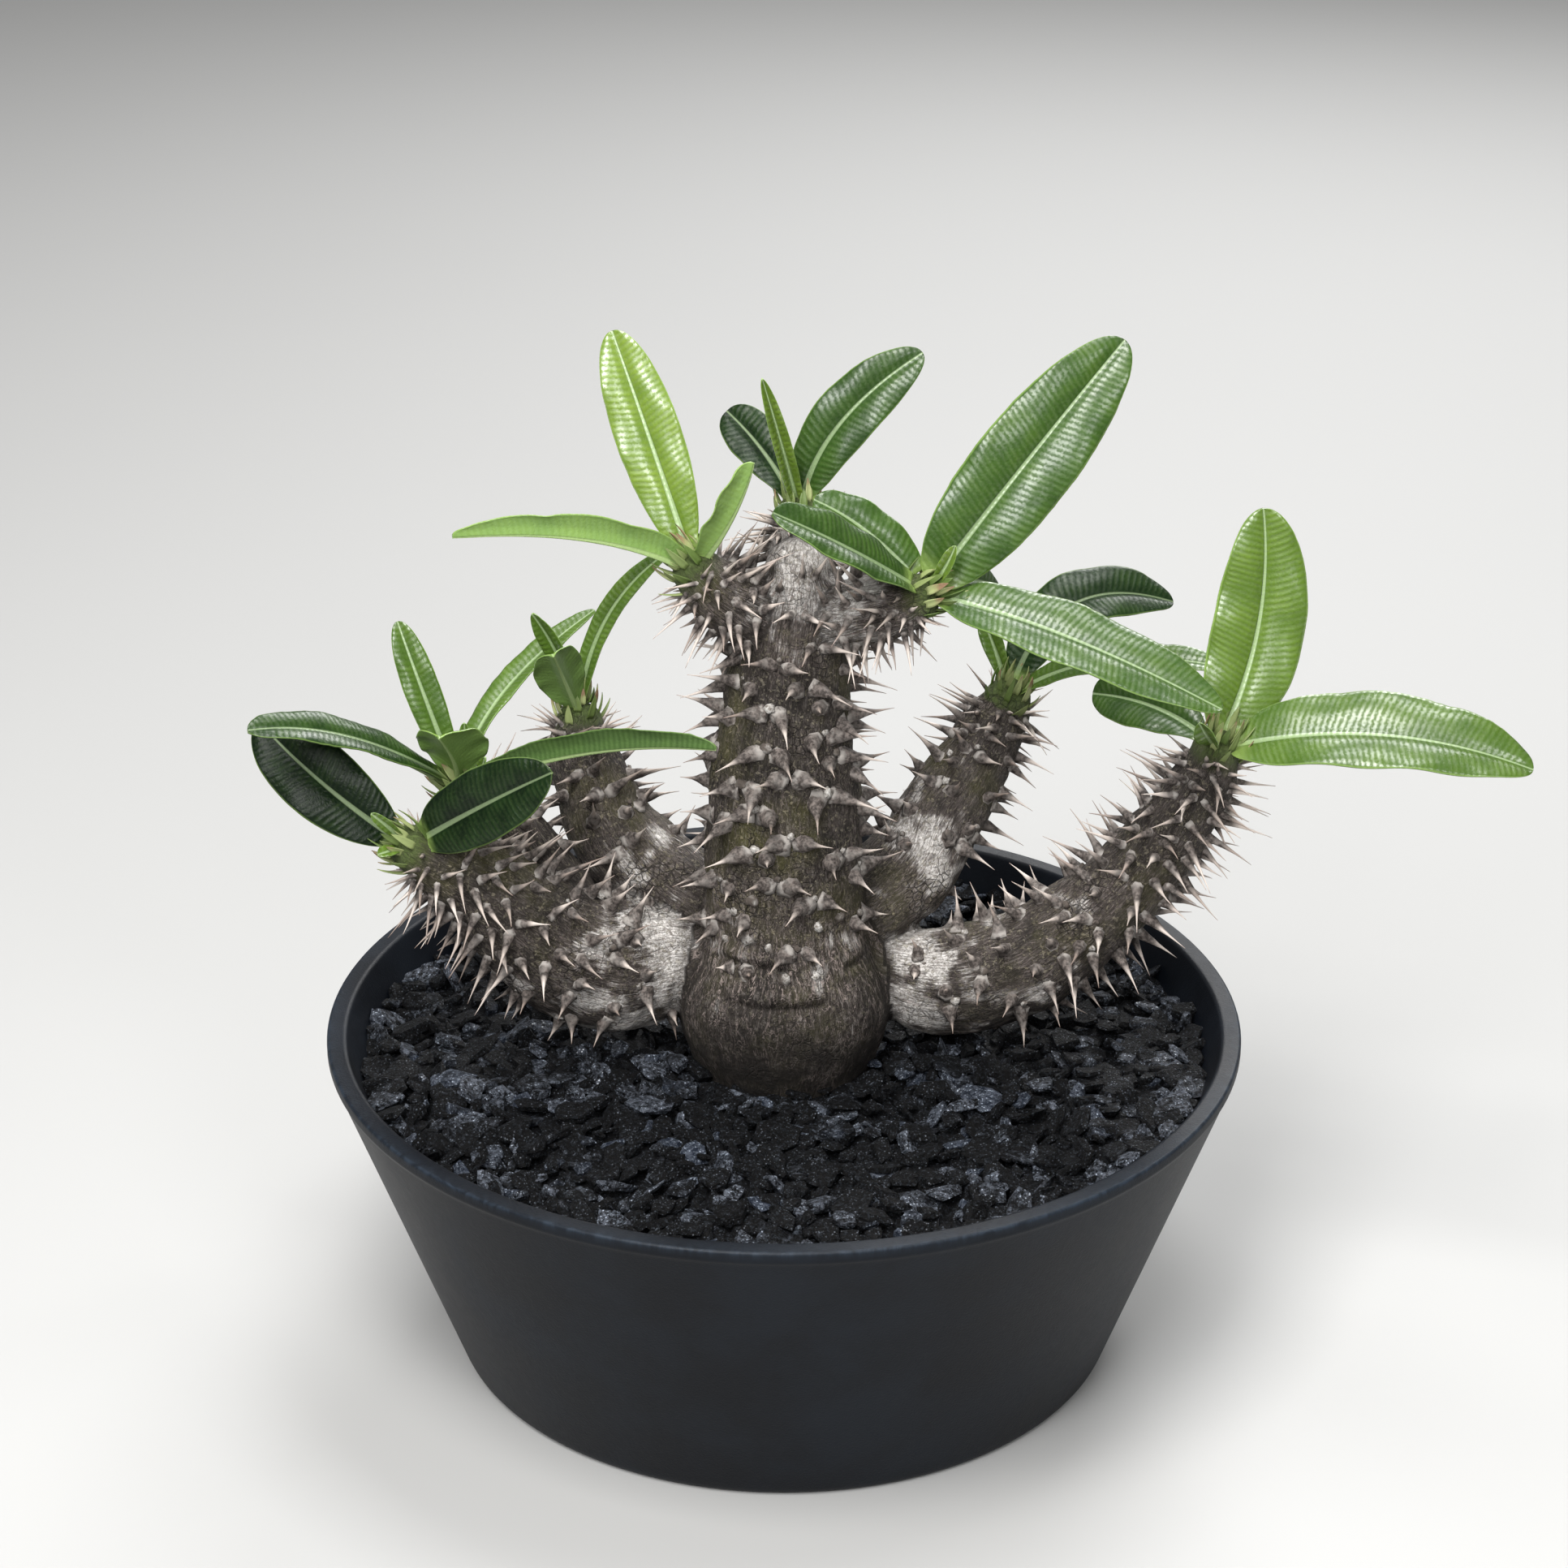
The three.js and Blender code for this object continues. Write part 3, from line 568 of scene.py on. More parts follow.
def paintBark():
    tones = barkColours
    paint = Paint("bark")
    place = paint.place()
    unrolled = paint.mark("unrolled", vector=True)
    silver = paint.mark("silver")
    hollow = paint.mark("hollow")
    fresh = paint.mark("fresh")
    knobbly = paint.mark("knobbly")
    smooth = 1.2 - 0.7 * knobbly
    # Fine wavy streaks and thin pale threads that run along each limb, short flecks between them, and patches
    streaks = paint.noise(paint.stretch(unrolled, (1.0, 1.0, 0.15)), 1.5, 4.0, 0.65, 0.8)
    flecks = paint.noise(paint.stretch(unrolled, (1.0, 1.0, 0.3)), 2.1, 4.0, 0.75, 0.5)
    patches = paint.noise(place, 95.0, 5.0, 0.6)
    moss = paint.noise(place, 60.0, 4.0, 0.6)
    grain = paint.noise(place, 1500.0, 4.0, 0.65)
    threadWaves = paint.noise(paint.stretch(unrolled, (1.0, 1.0, 0.2)), 0.75, 4.0, 0.6, 1.0)
    threads = 1 - abs(threadWaves - 0.5).step(0.004, 0.026)
    speckle = paint.noise(place, 1150.0, 3.0, 0.75).step(0.53, 0.62)
    cracks = paint.cells(paint.shift(place, paint.stretch(place, (0.0, 0.0, 0.3))), 560.0, "DISTANCE_TO_EDGE")
    crackLines = (1 - cracks.step(0.01, 0.09)) * knobbly * patches.step(0.48, 0.66)
    light = (silver * 0.9 + (patches - 0.5) * 1.3 + (streaks - 0.5) * 0.8).step(0.0, 1.05)

    umber = paint.blend(patches.step(0.35, 0.7), *tones["umber"])
    olive = paint.blend(moss.step(0.44, 0.62) * (1 - silver) * 0.85, umber, tones["olive"])
    mauve = paint.blend(streaks.step(0.35, 0.65), *tones["mauve"])
    pale = paint.blend(grain.step(0.3, 0.7), *tones["pale"])
    bark = paint.blend(light, olive, mauve)
    bark = paint.blend((light * silver * (0.55 + streaks)).step(0.3, 0.72) * 0.95, bark, pale)
    fleckShare = flecks.step(0.52, 0.62) * (0.38 + 0.5 * light) * (0.5 + patches) * smooth
    bark = paint.blend(fleckShare, bark, paint.blend(patches, *tones["flecks"]))
    bark = paint.blend((1 - flecks.step(0.41, 0.49)) * smooth * 0.85, bark, tones["gaps"])
    bark = paint.blend(threads * (1.15 - knobbly + 0.4 * silver), bark, tones["threads"])
    bark = paint.blend(speckle * knobbly * (0.2 + 0.5 * patches), bark, paint.blend(moss, *tones["specks"]))
    bark = paint.blend(fresh * (0.55 + 0.45 * patches), bark, paint.blend(grain, *tones["sheath"]))
    bark = paint.blend(crackLines * 0.75, bark, tones["cracks"])
    # painted shade in the creases and in the seams where limbs meet
    bark = paint.blend(hollow * 0.45, bark, tones["creases"])
    # painted shade: the stem darker towards the gravel, less so where it is silvery
    footShadeShare = 1 - place.parts()[2].step(*tones["footShadeHeight"])
    bark = paint.blend(footShadeShare * (0.95 - 0.9 * silver), bark, tones["footShade"])
    height = (streaks + flecks * 0.8) * smooth + threads * 0.3 + speckle * 0.35 + grain * 0.3
    height = height + patches - crackLines * 0.7
    return paint.surface(Base_Color=bark, Roughness=0.60 + 0.25 * grain,
                         Normal=paint.bump(height, tones["relief"]), Specular_IOR_Level=0.3)


stemSkin = makeSkin()
dress(stemSkin, paintBark(), "stem", "stem")


# Leaves

leafShape = {
    "rowsEachMm": 1.9,
    "rowLimits": (24, 112),
    "bladeThickness": 0.42,  # mm
    "ribThickness": 1.25,
    "ribWidth": 0.75,
    "grooveDepth": 0.3,
    "grooveWidth": 0.85,
    "ridgeHeight": 0.22,
    "ridgeWidth": 0.4,
    "petioleWidth": 2.1,
    "sheathWidth": 4.2,
    "tipFullness": 0.49,
    "waves": 3.2,
    "waveHeight": 0.024,
    "crinkleHeight": 0.16,
    "crinkles": {1.3: 0.6, 3.1: 1.0},  # length of the crinkles in mm: how strong they are
    "pillow": 0.075,         # how far each half of the blade swells, as a share of its width
    "recurve": 0.07,         # how far the margin rolls down
    "seatRise": 0.35,
    "sunk": 0.8,             # mm that a leaf's foot goes into its limb
    "columns": (33, 19),     # across a broad blade and across a narrow one
    "broad": 8,              # mm of width, above which a blade is broad
}

# For each limb its leaves: name, bend, tip, width, way the upper face looks, fold in degrees, share where it
# is widest, and yellowness with painted light and shade: darker for leaves in shade, paler for lit ones
leavesOn = {
    "crownLeft": [
        ("crown_left_tall", (-24.5, 4, 185.5), (-32, 12, 205), 12.7, (0, -1, 0.3), 12, 0.54, 0.74),
        ("crown_left_arched", (-34, -13, 176.5), (-60.5, -16, 175), 9, (0, 0.9, 0.9), 38, 0.42, 0.7),
        ("crown_left_young", (-8.5, -11, 178), (-6, -10, 187), 9, (-0.7, 0.3, 0.5), 38, 0.5, 0.76),
    ],
    "crownBack": [
        ("crown_back_spear", (-0.7, 5, 186.5), (-4, 3, 198.5), 5.6, (0.1, -1, 0.2), 52, 0.45, 0.7),
        ("crown_back_light", (6.5, 11, 188), (26, 16, 199.5), 12, (-0.3, -1, 0.3), 10, 0.55, 0.27),
        ("crown_back_dark", (-3.5, 20, 179.5), (-11, 27, 184.3), 10.5, (0.3, -1, 0.4), 15, 0.62, 0.08),
    ],
    "crownRight": [
        ("crown_right_tall", (44, -4, 184.5), (63, 8, 204.5), 18.7, (0, -1, 0.4), 10, 0.47, 0.35),
        ("crown_right_low", (11, -20, 175), (-2, -22, 181.5), 12, (0.1, -0.5, 1), 15, 0.5, 0.28),
        ("crown_right_upper", (15, -6, 174), (5.5, -4, 177.5), 11, (0.2, -0.7, 0.8), 15, 0.42, 0.36),
        ("crown_right_front", (50, -18, 159), (80, -28, 145.5), 15, (0.2, -0.6, 1), 12, 0.52, 0.37),
        ("crown_right_bud", (30, -11, 166.5), (31.5, -11, 171), 3.5, (-0.5, -1, 0), 40, 0.6, 0.7),
        ("crown_right_shaded", (35, 0, 161.5), (41, 8, 155.5), 7.5, (0, -0.8, 0.8), 15, 0.55, 0.3),
    ],
    "backRight": [
        ("back_right_high", (54, 41, 147.5), (78.5, 46, 137.5), 14, (0, -0.6, 1), 12, 0.55, 0.14),
        ("back_right_bud", (42, 36, 132.5), (39.5, 38, 137.5), 5, (0, -1, 0.2), 30, 0.6, 0.5),
        ("back_right_long", (63, 27, 137), (87.5, 18, 134.5), 8, (0, -0.4, 1), 15, 0.55, 0.45),
    ],
    "right": [
        ("right_tall", (93.5, 6, 149), (90.5, 9, 171), 18, (0, -1, 0.3), 10, 0.46, 0.62),
        ("right_long", (113, -13, 138.5), (140, -18, 129), 18.5, (0, -0.5, 0.87), 15, 0.46, 0.48),
        ("right_shaded", (72, 7, 133), (60, 14, 131), 12, (0.1, -0.8, 0.6), 15, 0.6, 0.3),
        ("right_bud", (80, -11, 132), (78, -11, 135.5), 5, (-0.5, -1, 0.3), 35, 0.6, 0.5),
    ],
    "left": [
        ("left_tall", (-70, 12, 131.5), (-75, 18, 144.5), 7.2, (0.2, -1, 0.3), 14, 0.55, 0.45),
        ("left_arched", (-59.5, 28, 126.5), (-38, 43, 137), 7, (-0.6, -0.7, 0.4), 20, 0.5, 0.5),
        ("left_fold", (-63, 3.5, 122.2), (-65.5, -4.5, 130), 15.5, (0, 0.7, 0.7), 28, 0.57, 0.68),
        ("left_far", (-83, -10, 136.6), (-99.5, -19, 137.5), 10, (0, -0.4, 1), 12, 0.55, 0.22),
        ("left_near", (-36.5, -6, 131.2), (-12.5, -20, 134.5), 8.5, (0, 0.9, 1), 40, 0.5, 0.26),
        ("left_bud", (-61.8, 7.5, 122.5), (-61.8, 7.5, 127.5), 2.8, (0, -1, 0.2), 30, 0.6, 0.5),
        ("left_small", (-58.5, -1, 119), (-57.2, -2, 124.5), 3, (-0.3, -0.8, 0.6), 35, 0.6, 0.5),
    ],
    "frontLeft": [
        ("front_left_far", (-88, -11, 122), (-100, -2, 132), 14.8, (0.2, -1, 0.5), 8, 0.55, 0.0),
        ("front_left_near", (-56.5, -20, 123), (-43, -26, 132), 14.3, (-0.1, -0.9, 0.5), 10, 0.5, 0.05),
        ("front_left_bud", (-74, -17, 116.5), (-77.5, -18, 120), 2.6, (0, -1, 0.2), 20, 0.6, 0.6),
        ("front_left_bract", (-74, -17, 112), (-76.5, -19, 112), 3, (0, -0.6, 1), 20, 0.6, 0.65),
    ],
    "backLeft": [
        ("back_left_small", (-44, 30, 133), (-49.5, 28, 142), 4.8, (-0.3, -1, 0.2), 22, 0.55, 0.5),
        ("back_left_wide", (-43.5, 24, 130), (-45, 17, 138), 11.5, (-0.5, 0.7, 0.7), 28, 0.55, 0.62),
        ("back_left_long", (-38, 34, 142), (-22.5, 33, 153.5), 5.2, (-0.5, -0.8, 0.2), 22, 0.5, 0.5),
    ],
}
leafRows = [("leaf_" + name, limb, *shape) for limb, group in leavesOn.items() for name, *shape in group]


# The blade's half width: t^a (1 - t)^b over its peak, which lies at the widest share, and never less than the
# petiole near the foot
def halfWidth(t, width, widest):
    b = leafShape["tipFullness"]
    a = b * widest / (1 - widest)
    blade = width / 2 * t**a * (1 - t) ** b / (widest**a * (1 - widest) ** b)
    petiole = min(leafShape["petioleWidth"], width * 0.4) / 2 * (1 - softStep(t, 0.1, 0.5))
    sheath = min(leafShape["sheathWidth"], width * 0.5) / 2 * (1 - softStep(t, 0.0, 0.13))
    return np.sqrt(blade**2 + np.maximum(petiole, sheath) ** 2) + 0.02


# A leaf's midrib is the quadratic Bezier (1-t)^2 seat + 2t(1-t) bend + t^2 tip. Across it, s runs from -1 to
# 1. A side goes out by half s cos(fold) and rises by half |s| sin(fold), plus waves, pillow, recurve and
# crinkle, with a groove along the middle and a ridge in the groove. The under face lies a thickness below.
def leafSurface(row, rows, columns):
    name, bearer, bend, tip, width, face, fold, widest, _ = row
    centre, radius, direction, *_ = limbAt(bearer, np.array([1.0]))
    bend, tip, face = (np.array(v, float) for v in (bend, tip, face))
    aim = unit(unit(bend - centre[0]) + leafShape["seatRise"] * direction[0])
    seat = centre[0] + aim * (radius[0] - leafShape["sunk"])
    t = 1 - (1 - np.linspace(0, 1, rows)) ** 1.4          # rows crowd towards the tip
    spread = np.linspace(-1, 1, columns)
    s = (np.sign(spread) * np.abs(spread) ** 1.15)[None, :]  # and columns towards the midrib
    midrib = ((1 - t) ** 2)[:, None] * seat + (2 * t * (1 - t))[:, None] * bend + (t**2)[:, None] * tip
    heading = unit((1 - t)[:, None] * (bend - seat) + t[:, None] * (tip - bend))
    across = unit(np.cross(heading, face))
    normal = np.cross(across, heading)
    along = np.concatenate([[0], np.cumsum(np.linalg.norm(np.diff(midrib, axis=0), axis=1))])
    half = halfWidth(t, width, widest)[:, None]
    angle = np.radians(fold)
    out = np.abs(s)
    seed = np.array([len(name) * 7.3, width * 3.1, fold * 1.7])
    walk = along[:, None] + 0 * s
    marginPath = np.stack([walk, np.sign(s) * 9 + 0 * walk, 0 * walk], -1)
    crinkle = sum(lumps(marginPath + seed, size) * share for size, share in leafShape["crinkles"].items())
    wave = width * leafShape["waveHeight"] * np.sin(fullTurn * leafShape["waves"] * t[:, None] + 2 * s)
    growth = softStep(t, 0.02, 0.2)[:, None] * softStep(1 - t, 0.0, 0.06)[:, None]
    swell = leafShape["pillow"] * np.sin(np.pi * out**0.8) - leafShape["recurve"] * out**7
    rise = half * out * np.sin(angle) + s * s * wave
    rise = rise + growth * half * swell
    rise = rise + growth * leafShape["crinkleHeight"] * crinkle * out**5
    groove = np.exp(-((out * half / leafShape["grooveWidth"]) ** 2))
    ridge = np.exp(-((out * half / leafShape["ridgeWidth"]) ** 2))
    rise = rise - leafShape["grooveDepth"] * groove * growth + leafShape["ridgeHeight"] * ridge * growth
    reach = half * s * (np.cos(angle) + growth * 0.012 * crinkle * out**6)
    top = midrib[:, None] + across[:, None] * reach[..., None] + normal[:, None] * rise[..., None]
    ribShare = np.exp(-((out * half / leafShape["ribWidth"]) ** 2)) * (1 - 0.75 * t[:, None])
    blade = min(leafShape["bladeThickness"], 0.05 * width + 0.12)
    thickness = blade * (1 - 0.45 * out**4) + min(leafShape["ribThickness"], 0.1 * width + 0.3) * ribShare
    bottom = top - normal[:, None] * thickness[..., None]
    place = np.stack([half * s, walk, out + 0 * half], -1)
    return top, bottom, place, t


def makeLeaf(row):
    name, bearer, _, tip, width, *_, yellownessAndShade = row
    long = np.linalg.norm(np.array(tip) - alongPath(limbs[bearer], np.array([1.0]))[0, :3])
    rows = int(np.clip(long * leafShape["rowsEachMm"], *leafShape["rowLimits"]))
    columns = leafShape["columns"][0 if width > leafShape["broad"] else 1]
    top, bottom, place, t = leafSurface(row, rows, columns)
    count = rows * columns
    # the second value is the leaf's yellowness with its painted light and shade
    side = np.stack([np.repeat(t, columns), np.full(count, yellownessAndShade), np.zeros(count)], 1)
    points = np.vstack([top.reshape(-1, 3), bottom.reshape(-1, 3)])
    marks = {
        "blade": np.tile(place.reshape(-1, 3), (2, 1)),
        "leaf": np.vstack([side, side + [0, 0, 1]]),
    }
    return makePiece(name + ".blade", points, [sheetFaces(rows, columns)], marks)


leafColours = {
    # the blade's green, from the darkest leaf to the palest, which carries each leaf's painted light and
    # shade
    "green": [
        (0.0, (0.002, 0.007, 0.002)),
        (0.15, (0.008, 0.024, 0.005)),
        (0.35, (0.030, 0.070, 0.009)),
        (0.65, (0.085, 0.150, 0.016)),
        (1.0, (0.235, 0.330, 0.045)),
    ],
    "veins": (0.25, 0.36, 0.10),
    "specks": (0.10, 0.19, 0.04),
    "midrib": (0.35, 0.46, 0.25),
    "margin": (0.28, 0.42, 0.12),
    "under": (0.22, 0.36, 0.12),
    "underMidrib": (0.34, 0.44, 0.20),
    "foot": (0.24, 0.34, 0.09),
    "veinsEachMm": 5.3 / fullTurn,
    "relief": 0.00011,
}


def paintLeaf():
    tones = leafColours
    paint = Paint("leaf")
    place = paint.place()
    across, along, edge = paint.mark("blade", vector=True).parts()
    share, yellowAndShade, under = paint.mark("leaf", vector=True).parts()
    out = abs(across)
    waver = paint.noise(place, 170.0, 3.0)
    ribPhase = along * (fullTurn * tones["veinsEachMm"]) - out * 1.6 + waver * 6.0
    ribs = ribPhase.sine() * 0.5 + 0.5
    midribHalf = 0.18 + 0.42 * (1 - share) ** 1.2
    midrib = 1 - ((out - midribHalf) * 4.0).step(-0.3, 0.5)
    ribArea = (out - midribHalf).step(0.1, 0.9) * (1 - edge.step(0.84, 0.97))
    margin = edge.step(0.95, 0.99)
    patches = paint.noise(place, 170.0, 4.0, 0.6)
    specks = paint.noise(place, 1900.0, 3.0, 0.6)
    ribStrength = patches.step(0.35, 0.6) * 0.75 + 0.25
    foot = 1 - share.step(0.0, 0.09)

    # painted light and shade: a leaf's tone is darker on leaves in shade and paler on lit ones
    tint = yellowAndShade + (patches - 0.5) * 0.35
    green = paint.node("ShaderNodeValToRGB", {"stops": tones["green"]}, {0: tint})
    upper = paint.blend(ribs * ribArea * ribStrength * (0.02 + 0.12 * yellowAndShade), green, tones["veins"])
    upper = paint.blend(specks.step(0.5, 0.75) * (0.05 + 0.25 * yellowAndShade), upper, tones["specks"])
    upper = paint.blend(midrib * (0.3 + 0.5 * yellowAndShade), upper, tones["midrib"])
    upper = paint.blend(margin * (0.3 + 0.4 * yellowAndShade), upper, tones["margin"])
    back = paint.blend(0.6 * yellowAndShade + 0.1 * ribs, green, tones["under"])
    back = paint.blend(midrib * 0.6, back, tones["underMidrib"])
    colour = paint.blend(under, upper, back)
    colour = paint.blend(foot * 0.75, colour, tones["foot"])
    height = ribs * ribArea * ribStrength * (1 - under * 0.6) * 0.9 + patches * 1.6 + specks * 1.1 + midrib
    gloss = (ribs * 0.7 + (specks - 0.5) * 2.4).step(0.0, 0.7) * (0.35 + patches)
    wax = (0.15 + gloss) * (0.03 + 2.9 * yellowAndShade) * (1 - 0.85 * under)
    return paint.surface(Base_Color=colour, Roughness=0.30 + 0.16 * specks + 0.22 * under,
                         Coat_Weight=wax, Coat_Roughness=0.27,
                         Normal=paint.bump(height, tones["relief"]), Specular_IOR_Level=0.14)


leafPaint = paintLeaf()
leafTriangles = 0
for row in leafRows:
    blade = makeLeaf(row)
    dress(blade, leafPaint, "leaf", row[0])
    leafTriangles += 2 * len(blade.data.polygons)
print("leaves:", len(leafRows), "with", leafTriangles, "triangles")


# Spines, in pairs at the leaf scars, which climb each limb in a spiral of golden angles

spines = {
    "sides": 7,
    "stations": [-0.1, 0.0, 0.1, 0.22, 0.34, 0.45, 0.6, 0.8, 1.0],
    "swelling": [2.5, 1.75, 1.42, 1.08, 0.74, 0.42, 0.14, 0.02, 0.0],  # mm of radius that the tubercle adds
    "needle": 0.28,         # mm, the needle's radius at its foot
    "point": 0.04,          # mm, the radius that stays at its point
    "sunk": 0.25,
    "pairHalfGap": 2.6,
    "pairSpread": (0.1, 0.65),
    "placeSpread": 0.6,     # how far a scar strays along the limb, against the step between two
    "turnSpread": 0.16,     # radians
    "sizeSpread": (0.62, 1.15),
    "thickSpread": (0.85, 1.15),
    "uneven": 0.08,         # how far the points of a foot are drawn in or out
    "unevenBelow": 0.45,
    "lean": (-0.25, 0.3),
    "curl": 0.1,
    "stray": 0.34,
    "scarAhead": 1.5,       # mm from a pair of spines to its leaf scar
    # at shares of a limb: mm2 of bark for each pair, length in mm, thickness against the widest
    "trunk": [(0.42, 150, 4, 0.6), (0.5, 120, 7, 0.9), (0.62, 92, 9, 1.0), (0.74, 68, 9.5, 0.9),
              (0.8, 58, 9.5, 0.65), (0.88, 70, 8.5, 0.35), (1.0, 22, 8, 0.22)],
    "crown": [(0.2, 30, 8.5, 0.36), (0.5, 17, 8.5, 0.32), (0.75, 11, 8.5, 0.22), (1.0, 6, 7, 0.1)],
    "branch": [(0.14, 200, 3.5, 0.5), (0.3, 100, 7.5, 0.8), (0.5, 62, 9.5, 0.62), (0.7, 34, 10, 0.4),
               (0.88, 14, 9.5, 0.24), (1.0, 7, 7, 0.12)],
    "leafRoom": 2.0,
    "leafSamples": (24, 7),
    "gravelRoom": 1.5,
    "gravelTop": 62,
}

leafPoints = np.vstack([leafSurface(row, *spines["leafSamples"])[0].reshape(-1, 3) for row in leafRows])


def tooNear(points, others, room):
    square = (points**2).sum(1)[:, None] - 2 * points @ others.T + (others**2).sum(1)[None]
    return (square < room * room).any(1)


def insideOtherLimb(points, own):
    inside = np.zeros(len(points), bool)
    for name in limbNames:
        if name != own:
            centre, radius, *_ = limbAt(name, np.linspace(0, 1, 40))
            gaps = np.linalg.norm(points[:, None] - centre[None], axis=2) - radius[None]
            inside |= (gaps < 0).any(1)
    return inside


# Feet, aims and sizes of one limb's spines. Scars are counted up by area: their number at a share is
# the integral of 2 pi radius over the area of bark for each.
def placeSpines(name, draw):
    kind = "trunk" if name == "trunk" else "crown" if name.startswith("crown") else "branch"
    shares, areas, lengths, widths = np.array(spines[kind]).T
    fine = np.linspace(shares[0], 1, 400)
    _, radius, *_, length = limbAt(name, fine)
    bark = fullTurn * radius[1:] * np.diff(length)
    number = np.concatenate([[0], np.cumsum(bark / np.interp(fine[1:], shares, areas))])
    scars = np.arange(0.5, number[-1])
    astray = spines["placeSpread"]
    share = np.interp(scars + draw.uniform(-astray, astray, len(scars)), number, fine)
    turn = np.arange(len(scars)) * goldenAngle + draw.normal(0, spines["turnSpread"], len(scars))
    share, turn, side = np.repeat(share, 2), np.repeat(turn, 2), np.tile([-1.0, 1.0], len(scars))
    count = len(share)
    centre, radius, direction, first, second, _ = limbAt(name, share)
    size = np.interp(share, shares, lengths) * draw.uniform(*spines["sizeSpread"], count)
    thick = np.interp(share, shares, widths) * draw.uniform(*spines["thickSpread"], count)
    angle = turn + side * spines["pairHalfGap"] * thick**0.5 / radius
    out = directionAt(angle, first, second)
    sideways = np.cross(direction, out)
    forward = draw.uniform(*spines["lean"], count) + 0.6 * softStep(share, 0.85, 1.0)
    stray = draw.normal(0, 1, (count, 3)) * (spines["stray"] * (1 - thick) ** 2)[:, None]
    aim = unit(out + (side * draw.uniform(*spines["pairSpread"], count))[:, None] * sideways
               + forward[:, None] * direction + stray)
    foot = centre + out * (radius - spines["sunk"])[:, None]
    tip = foot + aim * size[:, None]
    blocked = insideOtherLimb(foot, name) | insideOtherLimb(tip, name)
    blocked |= tip[:, 2] < spines["gravelTop"] + spines["gravelRoom"]
    for spot in (0.35, 0.7, 1.0):
        blocked |= tooNear(foot + aim * (size * spot)[:, None], leafPoints, spines["leafRoom"])
    keep = ~blocked
    bend = unit(draw.normal(0, 1, (count, 3)) - 0.8 * direction)
    scarOut = directionAt(turn, first, second)
    scarSpot = centre + scarOut * radius[:, None] + direction * spines["scarAhead"]
    return {
        "foot": foot[keep], "aim": aim[keep], "size": size[keep], "thick": thick[keep], "bend": bend[keep],
        "scar": scarSpot[::2], "scarOut": unit(scarOut)[::2],
        "scarSize": np.interp(share, shares, widths)[::2],
    }


# Every spine is a seven-sided tube along foot + aim size t + bend size curl t^2, closed at both ends. Its
# radius is the needle's (1 - t)^0.8 and the tubercle's swelling, drawn in and out a little near the foot.
def makeSpines(found, draw):
    sides, stations, swelling = spines["sides"], np.array(spines["stations"]), np.array(spines["swelling"])
    count = len(found["foot"])
    t = stations[None, :, None]
    size = found["size"][:, None, None]
    path = found["foot"][:, None] + found["aim"][:, None] * size * t
    path = path + found["bend"][:, None] * size * spines["curl"] * np.maximum(t, 0) ** 2
    first = unit(np.cross(found["aim"], [0.31, 0.22, 0.93]))
    ring = circles(first, np.cross(found["aim"], first), sides)
    isFoot = t[..., None] < spines["unevenBelow"]
    uneven = 1 + spines["uneven"] * draw.uniform(-1, 1, (count, len(stations), sides, 1)) * isFoot
    needle = spines["needle"] * (1 - np.clip(stations, 0, 1)) ** 0.8 + spines["point"]
    wide = (found["thick"][:, None] * swelling[None] + needle[None])[..., None, None]
    points = path[:, :, None] + ring[:, None] * wide * uneven
    rise = np.broadcast_to(stations[None, :, None], (count, len(stations), sides))
    tone = np.broadcast_to(draw.uniform(0, 1, count)[:, None, None], rise.shape)
    slim = np.broadcast_to(found["thick"][:, None, None], rise.shape)
    marks = {"spine": np.stack([rise, tone, slim], -1).reshape(-1, 3)}
    return makePiece("spines", points.reshape(-1, 3), tubeFaces(len(stations), sides, count), marks)


# A leaf scar: a low crusty dome of three rings, its points drawn in and out at random
def makeScars(spots, outward, sizes, draw):
    sides, rings = 8, np.array([(1.0, -0.5), (0.85, 0.28), (0.45, 0.5)])  # radius and height for a size of 1
    first = unit(np.cross(outward, [0.2, 0.1, 0.97]))
    ring = circles(first, np.cross(outward, first), sides)
    reach, lift = (part[None, :, None, None] * sizes[:, None, None, None] for part in rings.T)
    jitter = draw.uniform(0.7, 1.25, (len(spots), len(rings), sides, 1))
    points = spots[:, None, None] + ring[:, None] * reach * jitter + outward[:, None, None] * lift * jitter
    return makePiece("leafScars", points.reshape(-1, 3), tubeFaces(len(rings), sides, len(spots)))


spineColours = {  # pairs run from dark to light
    "foot": ((0.026, 0.020, 0.017), (0.155, 0.130, 0.117)),
    "dust": (0.27, 0.245, 0.225),
    "crust": (0.36, 0.335, 0.31),
    "ivory": ((0.25, 0.195, 0.165), (0.58, 0.51, 0.46)),
    "tip": (0.22, 0.12, 0.09),
    "scar": ((0.14, 0.12, 0.10), (0.62, 0.60, 0.57)),
    "scarShade": (0.075, 0.06, 0.05),
}


def paintSpines():
    tones = spineColours
    paint = Paint("spines")
    place = paint.place()
    rise, tone, slim = paint.mark("spine", vector=True).parts()
    grain = paint.noise(place, 1300.0, 4.0, 0.6)
    broad = paint.noise(place, 420.0, 3.0)
    start = 0.1 + 0.34 * slim
    needle = (rise - start + (tone - 0.5) * 0.12 + (broad - 0.5) * 0.2).step(0.0, 0.3)
    foot = paint.blend(grain.step(0.35, 0.7), *tones["foot"])
    foot = paint.blend(broad.step(0.48, 0.62) * 0.35, foot, tones["dust"])
    foot = paint.blend((1 - rise.step(0.0, 0.09)) * broad.step(0.40, 0.56) * 0.7, foot, tones["crust"])
    colour = paint.blend(needle, foot, paint.blend(tone, *tones["ivory"]))
    colour = paint.blend(rise.step(0.88, 1.0) * 0.5, colour, tones["tip"])
    return paint.surface(Base_Color=colour, Roughness=0.78 - 0.38 * needle,
                         Normal=paint.bump(grain, 0.00022, 0.8), Specular_IOR_Level=0.45)


